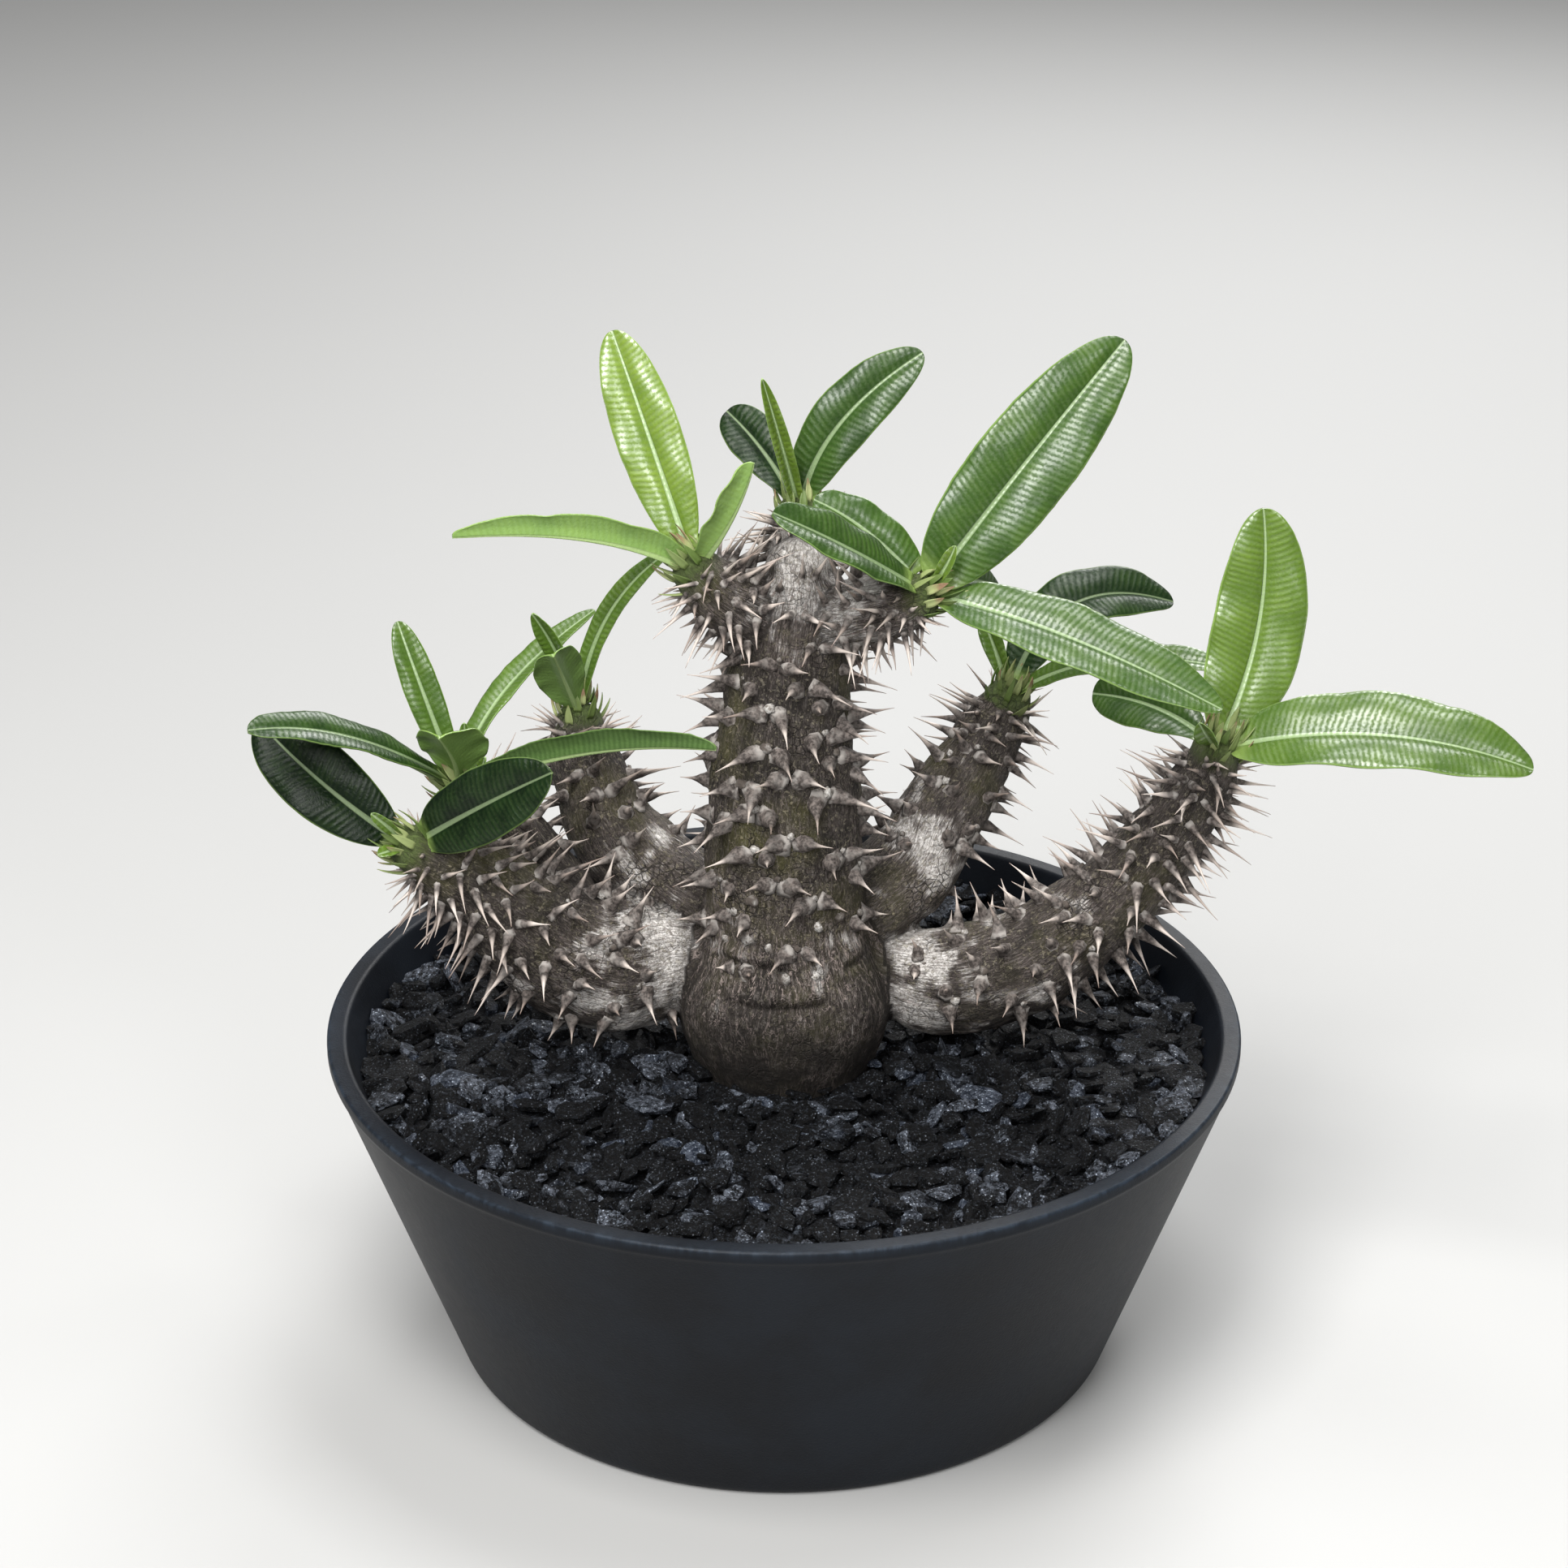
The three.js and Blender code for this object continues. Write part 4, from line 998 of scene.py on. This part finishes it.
def paintScars():
    paint = Paint("leafScars")
    place = paint.place()
    grain = paint.noise(place, 1700.0, 4.0, 0.65)
    broad = paint.noise(place, 220.0, 3.0)
    crust = paint.blend(grain.step(0.3, 0.7), *spineColours["scar"])
    colour = paint.blend(broad.step(0.42, 0.62), spineColours["scarShade"], crust)
    return paint.surface(Base_Color=colour, Roughness=0.9, Normal=paint.bump(grain, 0.00035))


spineDraw = np.random.default_rng(21)
placed = [placeSpines(name, spineDraw) for name in limbNames]
found = {key: np.concatenate([part[key] for part in placed]) for key in placed[0]}
dress(makeSpines(found, spineDraw), paintSpines(), "stem", "stem")

# Bare knobs and crusts on the trunk, most of them seen in the photo: degrees from the front, height, size
trunkKnobs = np.array([
    (-26, 92.1, 1.7), (-10, 90.4, 1.1), (-44, 90.6, 0.9), (-23, 100, 1.5), (44, 95, 1.2), (0, 84.8, 1.4),
    (-25, 84.2, 0.9), (20, 84.8, 1.0), (25, 94.3, 1.1), (170, 88, 1.3), (120, 84, 1.2),
])
knobTurn = np.radians(trunkKnobs[:, 0])
knobOut = np.stack([np.sin(knobTurn), -np.cos(knobTurn), 0 * knobTurn], 1)
trunkTable = alongPath(limbs["trunk"], np.linspace(0, 1, 200))
knobSpot = knobOut * np.interp(trunkKnobs[:, 1], trunkTable[:, 2], trunkTable[:, 3])[:, None]
knobSpot[:, 2] = trunkKnobs[:, 1]
scarLook = {
    "share": 0.62,          # of the pairs of spines that have one
    "smallest": 0.55,
    "leafRoom": 1.5,
    "size": 1.15,
    "spread": (0.6, 1.2),
}
shown = spineDraw.uniform(0, 1, len(found["scar"])) < scarLook["share"]
shown &= found["scarSize"] > scarLook["smallest"]
shown &= ~tooNear(found["scar"], leafPoints, scarLook["leafRoom"])
scarSizes = scarLook["size"] * found["scarSize"][shown] * spineDraw.uniform(*scarLook["spread"], shown.sum())
scarPiece = makeScars(
    np.vstack([found["scar"][shown], knobSpot]),
    np.vstack([found["scarOut"][shown], knobOut]),
    np.concatenate([scarSizes, trunkKnobs[:, 2]]),
    spineDraw,
)
dress(scarPiece, paintScars(), "stem", "stem")
print("spines:", len(found["foot"]), "scars:", int(shown.sum()) + len(trunkKnobs))


# Bracts: small pale scales round each growing tip

bracts = {
    "each": 26,
    "length": (3.2, 6.2),
    "width": (1.2, 2.3),
    "thickness": 0.32,
    "cup": 0.28,
    "curve": 0.16,
    "lean": (0.2, 0.9),     # how far a bract's tip leans out from the limb
    "sunk": 0.95,           # of the limb's radius, where a bract's foot stands
    "rows": 7,
    "columns": 5,
    "green": ((0.075, 0.125, 0.022), (0.33, 0.37, 0.16)),
    "husk": ((0.10, 0.05, 0.025), (0.30, 0.19, 0.11)),
}


# A bract is a pointed scale: its half width goes with 0.35 (1 - t) + sqrt(t) (1 - t)^0.8, and it is cupped by
# half s^2 and curves away from the limb by t^2. Bracts climb each tip in a spiral of golden angles.
def makeBracts(draw):
    rows, columns, each = bracts["rows"], bracts["columns"], bracts["each"]
    feet, aims, sides = [], [], []
    for name in limbNames[1:]:  # every limb but the trunk
        centre, radius, direction, first, second, _ = (v[-1] for v in limbAt(name, np.array([0.9, 1.0])))
        turn = np.arange(each) * goldenAngle + draw.uniform(0, 6)
        out = directionAt(turn, first, second)
        lift = (1.1 * np.sqrt(np.arange(each) / each) - 0.2)[:, None]
        away = unit(out * (1 - 0.75 * lift) + direction * lift)
        feet.append(centre + away * radius * bracts["sunk"])
        aims.append(unit(direction * (0.9 + lift) + out * draw.uniform(*bracts["lean"], each)[:, None]))
        sides.append(np.cross(direction, out))
    feet, aims, sides = np.vstack(feet), np.vstack(aims), unit(np.vstack(sides))
    count = len(feet)
    normal = np.cross(sides, aims)
    length = draw.uniform(*bracts["length"], count)[:, None, None, None]
    width = draw.uniform(*bracts["width"], count)[:, None, None, None]
    t = np.linspace(0, 1, rows)[None, :, None, None]
    s = np.linspace(-1, 1, columns)[None, None, :, None]
    half = width * (0.35 * (1 - t) + np.sqrt(t + 0.02) * (1 - t) ** 0.8) * 0.62
    top = feet[:, None, None] + aims[:, None, None] * length * t + sides[:, None, None] * half * s
    top = top + normal[:, None, None] * (bracts["cup"] * half * s**2 - bracts["curve"] * length * t**2)
    bottom = top - normal[:, None, None] * (bracts["thickness"] - 0.14 * s**2) * (1.1 - 0.7 * t)
    points = np.stack([top, bottom], 1).reshape(-1, 3)
    rise = np.broadcast_to(t, (count, rows, columns, 1))
    tone = np.broadcast_to(draw.uniform(0, 1, count)[:, None, None, None], rise.shape)
    scale = np.concatenate([rise, tone, 0 * tone], -1)
    marks = {"bract": np.stack([scale, scale], 1).reshape(-1, 3)}
    return makePiece("tipBracts", points, [sheetFaces(rows, columns, count)], marks)


def paintBracts():
    paint = Paint("tipBracts")
    place = paint.place()
    rise, tone, _ = paint.mark("bract", vector=True).parts()
    grain = paint.noise(place, 900.0, 3.0)
    green = paint.blend(tone, *bracts["green"])
    husk = paint.blend(grain, *bracts["husk"])
    colour = paint.blend((rise + (grain - 0.5) * 0.5 + (tone - 0.5) * 1.3).step(0.85, 1.35), green, husk)
    return paint.surface(Base_Color=colour, Roughness=0.42 + 0.2 * grain, Normal=paint.bump(grain, 0.0001))


dress(makeBracts(np.random.default_rng(8)), paintBracts(), "leaf")
print("bracts on each tip:", bracts["each"])


# Gravel

gravel = {
    "top": 62,              # mm of height
    "edge": 84.2,           # mm of radius
    "innerRadius": 17.0,    # mm round the pot's axis that the stem fills
    "bedDepth": 3.2,
    "bedFloor": 50.0,
    "bedLumps": {6: 0.8, 2.5: 0.5},  # size of the lumps: how high they stand
    "chips": 1850,
    "reach": (2.0, 6.8),
    "thickness": (0.9, 2.6),
    "narrow": (0.5, 0.95),  # a chip's width against its length
    "cornerTurn": 0.32,     # radians
    "cornerReach": (0.62, 1.08),
    "levels": (-0.5, 0.1, 0.5),
    "levelSpread": 0.16,
    "tilt": 0.55,           # radians, how far a chip usually leans
    "standing": 0.1,        # share of chips that lean far over
    "standingTilt": (0.8, 1.35),
    "sunk": 1.2,            # mm that the chips' middles lie under the top of the gravel
    "rise": (-2.2, 1.2),    # mm that they differ from that
    "astray": 0.7,          # mm of radius that a chip strays from the spiral
    "spinAstray": 0.02,     # radians
    "corners": 6,
}


# The bed under the chips, rings of growing radius at the height top - depth + lumps, with a wall and a floor
def makeBed():
    rings, sides = 46, 120
    radius = np.linspace(0.02, 1, rings) * gravel["edge"]
    turn = turnSteps(sides)
    x, y = radius[:, None] * np.cos(turn), radius[:, None] * np.sin(turn)
    flat = np.stack([x, y, 0 * x], -1)
    z = gravel["top"] - gravel["bedDepth"]
    for size, height in gravel["bedLumps"].items():
        z = z + height * lumps(flat, size)
    wall = np.stack([x[-1] * 0.985, y[-1] * 0.985, np.full(sides, gravel["bedFloor"])], -1)[None]
    points = np.vstack([np.stack([x, y, z], -1), wall]).reshape(-1, 3)
    faces = [side[:, ::-1] for side in tubeFaces(rings + 1, sides)]
    return makePiece("gravelBed", points, faces, {"chip": np.zeros((len(points), 3))})


# Chips lying flat at the origin: three rings of six uneven corners each, below, middle and above
def flatChips(draw):
    count, corners = gravel["chips"], gravel["corners"]
    shortest, longest = gravel["reach"]
    reach = draw.beta(1.5, 2.6, count) * (longest - shortest) + shortest
    narrow = draw.uniform(*gravel["narrow"], count)
    thick = draw.uniform(*gravel["thickness"], count) * (0.6 + 0.5 * reach / longest)
    astray = gravel["cornerTurn"]
    turn = turnSteps(corners) + draw.uniform(-astray, astray, (count, corners))
    long = draw.uniform(*gravel["cornerReach"], (count, corners))
    levels, uneven = np.array(gravel["levels"]), gravel["levelSpread"]
    shrink = np.stack([draw.uniform(0.6, 0.95, count), np.ones(count), draw.uniform(0.7, 0.98, count)], 1)
    flat = reach[:, None, None] * long[:, None] * shrink[..., None]
    flat = flat * draw.uniform(0.92, 1.08, (count, 3, corners))
    x = flat * np.cos(turn)[:, None]
    y = flat * np.sin(turn)[:, None] * narrow[:, None, None]
    z = thick[:, None, None] * (levels[None, :, None] + draw.uniform(-uneven, uneven, (count, 3, corners)))
    return x, y, z, reach


# Chips are turned by a yaw, tilted round a level axis by Rodrigues' formula, and laid in a spiral of golden
# angles, chip k at an angle of golden k and a radius sqrt(inner^2 + (edge^2 - inner^2) share)
def makeChips(draw):
    count, corners, inner = gravel["chips"], gravel["corners"], gravel["innerRadius"]
    share = (np.arange(count) + 0.5) / count
    radius = np.sqrt(inner**2 + (gravel["edge"] ** 2 - inner**2) * share)
    radius += draw.normal(0, gravel["astray"], count)
    spin = np.arange(count) * goldenAngle + draw.normal(0, gravel["spinAstray"], count)
    x, y, z, reach = flatChips(draw)
    lean = np.abs(draw.normal(0, gravel["tilt"], count))
    isStanding = draw.uniform(0, 1, count) < gravel["standing"]
    lean = np.where(isStanding, draw.uniform(*gravel["standingTilt"], count), lean)
    axisTurn = draw.uniform(0, fullTurn, count)
    yaw = draw.uniform(0, fullTurn, count)
    c, s = np.cos(yaw)[:, None, None], np.sin(yaw)[:, None, None]
    local = np.stack([c * x - s * y, s * x + c * y, z], -1)
    axis = np.stack([np.cos(axisTurn), np.sin(axisTurn), 0 * axisTurn], 1)[:, None, None]
    cosLean, sinLean = np.cos(lean)[:, None, None, None], np.sin(lean)[:, None, None, None]
    local = (local * cosLean + np.cross(np.broadcast_to(axis, local.shape), local) * sinLean
             + axis * (local * axis).sum(-1, keepdims=True) * (1 - cosLean))
    height = gravel["top"] - gravel["sunk"] + draw.uniform(*gravel["rise"], count)
    height = height - 0.35 * reach * np.sin(lean)
    centre = np.stack([radius * np.cos(spin), radius * np.sin(spin), height], 1)
    points = centre[:, None, None] + local
    # A chip that would pass the pot's wall is drawn in by as much
    furthest = np.linalg.norm(points[..., :2], axis=-1).reshape(count, -1).max(1)
    over = np.maximum(furthest - gravel["edge"], 0)
    points[..., :2] -= (over[:, None] * unit(centre[:, :2]))[:, None, None]
    tone = np.broadcast_to(draw.uniform(0, 1, (count, 1, 1, 3)), points.shape)
    marks = {"chip": tone.reshape(-1, 3)}
    return makePiece("gravelChips", points.reshape(-1, 3), tubeFaces(3, corners, count), marks, rounded=False)


gravelColours = {  # pairs run from dark to light
    "black": ((0.0010, 0.0010, 0.0012), (0.0055, 0.0053, 0.0056)),
    "slate": ((0.003, 0.003, 0.0038), (0.120, 0.132, 0.160)),
    "blue": (0.020, 0.029, 0.050),
    # painted glints: bright flakes and specks in the chips' colour
    "glitterFlakes": (0.19, 0.22, 0.27),
    "sparkle": (0.48, 0.55, 0.66),
}


def paintGravel():
    tones = gravelColours
    paint = Paint("gravel")
    place = paint.place()
    chip = paint.mark("chip", vector=True)
    tone, blueness, _ = chip.parts()
    shifted = paint.shift(place, paint.stretch(chip, (0.3, 0.3, 0.3)))  # so that no two chips share a pattern
    grain = paint.noise(shifted, 900.0, 6.0, 0.72)
    coarse = paint.noise(shifted, 260.0, 4.0, 0.6)
    glints = paint.cells(shifted, 1700.0)
    glitterFlakes = paint.noise(shifted, 1450.0, 3.0, 0.8, 0.6).step(0.50, 0.62)
    split = (tone + (coarse - 0.5) * 0.9).step(0.60, 1.02)
    black = paint.blend(grain.step(0.35, 0.7), *tones["black"])
    slate = paint.blend(grain.step(0.42, 0.62), *tones["slate"])
    slate = paint.blend(blueness.step(0.55, 1.0) * 0.6, slate, tones["blue"])
    colour = paint.blend(split, black, slate)
    # painted glitter in flakes over the chips
    colour = paint.blend(glitterFlakes * (0.08 + 0.5 * split), colour, tones["glitterFlakes"])
    # painted glints in the base colour, where the coat also shines
    sparkle = (1 - glints.step(0.12, 0.36)) * grain.step(0.46, 0.56) * (0.2 + split)
    colour = paint.blend(sparkle * 0.9, colour, tones["sparkle"])
    relief = paint.bump(coarse, 0.0012, 0.8)
    relief = paint.bump(grain + glitterFlakes * 0.3 + glints * 0.3, 0.0007, 1.0, relief)
    return paint.surface(Base_Color=colour, Roughness=0.6 - 0.2 * split, Normal=relief,
                         Specular_IOR_Level=0.12, Coat_Weight=sparkle, Coat_Roughness=0.2)


gravelPaint = paintGravel()
dress(makeBed(), gravelPaint, "gravel", "gravel")
dress(makeChips(np.random.default_rng(33)), gravelPaint, "gravel", "gravel")
print("gravel chips:", gravel["chips"])


# Pot

pot = {
    "rim": 90, "height": 68, "base": 66, "lip": 3.8, "lipDepth": 3, "overhang": 0.6, "floor": 4.5,
    # the last of these sets how far the painted highlight on the lip spreads
    "rounding": 0.75, "sides": 200, "holes": 5, "holeRadius": 4.5, "holeCircle": 34, "lipHighlightArea": 0.45,
}


# The pot's outline, from the middle of its base up the outside, over the lip and down the inside; each corner
# is cut by a quadratic curve through points at a set distance before and after it
def potOutline():
    rim, base, top, floor = pot["rim"], pot["base"], pot["height"], pot["floor"]
    inner, innerBase = rim - pot["lip"], base - pot["lip"]
    low = top - pot["lipDepth"]
    innerLow = innerBase + (inner - innerBase) * (low - floor) / (top - floor)
    # radius, height and how much is cut off each corner
    corners = [(0, 0, 0), (base, 0, 2.0), (rim - pot["overhang"], low, 0.5), (rim, low + 0.9, 0.4),
               (rim, top, pot["rounding"]), (inner, top, pot["rounding"]), (innerLow, low, 0.8),
               (innerBase, floor, 4.0), (0, floor, 0)]
    outline = [np.array([corners[0][:2]], float)]
    for before, here, after in zip(corners, corners[1:], corners[2:]):
        spot = np.array(here[:2], float)
        start = spot + unit(np.array(before[:2]) - spot) * here[2]
        end = spot + unit(np.array(after[:2]) - spot) * here[2]
        u = np.linspace(0, 1, 7)[:, None]
        outline.append((1 - u) ** 2 * start + 2 * u * (1 - u) * spot + u**2 * end)
    outline.append(np.array([corners[-1][:2]], float))
    outline = np.vstack(outline)
    # Long straight runs get points of their own
    spacing = 3.0
    steps = np.linalg.norm(np.diff(outline, axis=0), axis=1)
    walk = np.concatenate([[0], np.cumsum(steps)])
    extra = np.arange(spacing, walk[-1], spacing)
    at = np.unique(np.round(np.concatenate([walk, extra]), 3))
    return np.stack([np.interp(at, walk, outline[:, 0]), np.interp(at, walk, outline[:, 1])], 1)


# The pot's five drain holes as round drills, to be taken out of its floor
def makeDrills():
    sides, holes = 40, pot["holes"]
    turn, middle = turnSteps(sides), turnSteps(holes)
    x = (pot["holeCircle"] * np.cos(middle))[:, None, None] + pot["holeRadius"] * np.cos(turn)
    y = (pot["holeCircle"] * np.sin(middle))[:, None, None] + pot["holeRadius"] * np.sin(turn)
    through = np.array([-5.0, 10.0])  # mm of height, past both faces of the floor
    z = through[None, :, None]
    drills = np.stack(np.broadcast_arrays(x, y, z), -1).reshape(-1, 3)
    return makePiece("drillDraft", drills, tubeFaces(2, sides, holes))


# The outline turned round the pot's axis, with the drain holes cut out
def makePot():
    radius, height = potOutline()[1:-1].T
    sides = pot["sides"]
    turn = turnSteps(sides)
    x, y = radius[:, None] * np.cos(turn), radius[:, None] * np.sin(turn)
    points = np.stack([x, y, height[:, None] + 0 * turn], -1).reshape(-1, 3)
    piece = makePiece("potBody", points, tubeFaces(len(radius), sides))
    drills = makeDrills()
    cut = piece.modifiers.new("drainHoles", "BOOLEAN")
    cut.operation = "DIFFERENCE"
    cut.solver = "EXACT"
    cut.object = drills
    mesh = finishedMesh(piece)
    piece.modifiers.clear()
    piece.data = mesh
    mesh.name = "potBody"
    bpy.data.objects.remove(drills)
    isWall = np.abs(readVectors(mesh.polygons, "normal")[:, 2]) < 0.999
    mesh.polygons.foreach_set("use_smooth", isWall)
    points = readVectors(mesh.vertices, "co") / mm
    # 1 on the lip's outer corner, where a painted highlight runs round the rim
    fromRim = np.linalg.norm(points[:, :2], axis=1) - pot["rim"]
    fromTop = points[:, 2] - pot["height"]
    addMark(mesh, "rub", np.exp(-(fromRim**2 + fromTop**2) / pot["lipHighlightArea"]))
    return piece


potColours = {  # pairs run from dark to light
    "blueBlack": ((0.0032, 0.0042, 0.0065), (0.0065, 0.009, 0.0135)),
    "dust": (0.035, 0.040, 0.048),
    # painted highlight on the lip's outer corner
    "lipHighlightColour": (0.06, 0.085, 0.12),
}


def paintPot():
    tones = potColours
    paint = Paint("pot")
    place = paint.place()
    rub = paint.mark("rub")
    cloud = paint.noise(place, 38.0, 5.0, 0.6)
    fine = paint.noise(place, 2300.0, 3.0, 0.6)
    dust = paint.noise(place, 620.0, 5.0, 0.7)
    scuffs = paint.noise(paint.stretch(place, (1.0, 1.0, 0.12)), 330.0, 4.0, 0.6, 1.5)
    base = paint.blend(cloud.step(0.35, 0.7), *tones["blueBlack"])
    base = paint.blend(dust.step(0.58, 0.8) * 0.12, base, tones["dust"])
    # painted highlight along the lip's outer corner, broken up by the scuffs
    base = paint.blend(rub * (0.25 + 0.75 * scuffs.step(0.38, 0.65)) * 0.3, base, tones["lipHighlightColour"])
    return paint.surface(Base_Color=base, Roughness=0.36 + 0.14 * cloud + 0.12 * dust,
                         Normal=paint.bump(fine + scuffs * 0.5, 0.00005), Specular_IOR_Level=0.16)


dress(makePot(), paintPot(), "pot", "pot")
print("pot made")


# Studio

studio = {
    "floorHalf": 6000.0,    # mm
    "floorColour": (0.43, 0.43, 0.425),
    "lights": [
        # name, place in m, aim in m, size in m, watts, colour
        ("key", (-0.16, -0.40, 0.92), (0, 0, 0.10), (0.34, 0.34), 7.5, (1.0, 0.985, 0.96)),
        ("top", (0.12, 0.10, 0.95), (0, 0, 0.14), (0.5, 0.3), 4.5, (1.0, 1.0, 1.0)),
        ("front", (-0.26, -0.75, 0.72), (0, 0, 0.13), (0.36, 0.36), 7.5, (1.0, 1.0, 1.0)),
        ("side", (0.29, -0.74, 0.60), (0, 0, 0.15), (0.24, 0.24), 2.2, (1.0, 1.0, 1.0)),
        ("back", (0.30, 0.95, 0.75), (0, 0, 0.12), (0.6, 0.6), 9.0, (1.0, 1.0, 1.0)),
    ],
    "sky": 0.27,
}


def makeStudio():
    half = studio["floorHalf"]
    corners = np.array([(-half, -half, 0), (half, -half, 0), (half, half, 0), (-half, half, 0)], float)
    floor = makePiece("floor", corners, [np.array([[0, 1, 2, 3]])])
    paint = Paint("floor")
    faint = paint.noise(paint.place(), 3.0, 3.0)
    low, high = (tuple(c * tone for c in studio["floorColour"]) for tone in (0.97, 1.0))
    floor.data.materials.append(paint.surface(Base_Color=paint.blend(faint, low, high), Roughness=0.75))
    for name, spot, target, size, watts, colour in studio["lights"]:
        lamp = bpy.data.lights.new(name, "AREA")
        lamp.shape = "RECTANGLE"
        lamp.size, lamp.size_y = size
        lamp.energy = watts
        lamp.color = colour
        holder = addObject(name, lamp)
        back = unit(np.array(spot) - np.array(target))
        holder.location = spot
        holder.rotation_euler = (np.arccos(back[2]), 0, np.arctan2(back[0], -back[1]))
    world = bpy.data.worlds.new("studio")
    world.use_nodes = True
    background = world.node_tree.nodes["Background"]
    background.inputs[0].default_value = (1, 1, 1, 1)
    background.inputs[1].default_value = studio["sky"]
    bpy.context.scene.world = world
    bpy.context.scene.view_settings.view_transform = "Standard"


# The photograph's view: 24.3 degrees down on a point 118 mm over the base, from 712.5 mm, with an 85 mm lens
view = {"down": np.radians(24.32), "distance": 0.7125, "aimHeight": 0.118, "lens": 85, "sensor": 36}


def makeCamera():
    camera = bpy.data.cameras.new("camera")
    camera.lens = view["lens"]
    camera.sensor_width = view["sensor"]
    camera.clip_start = 0.01
    holder = addObject("camera", camera)
    holder.location = (0, -np.cos(view["down"]) * view["distance"],
                       view["aimHeight"] + np.sin(view["down"]) * view["distance"])
    holder.rotation_euler = (np.pi / 2 - view["down"], 0, 0)
    bpy.context.scene.camera = holder


makeStudio()
makeCamera()
print("studio made")
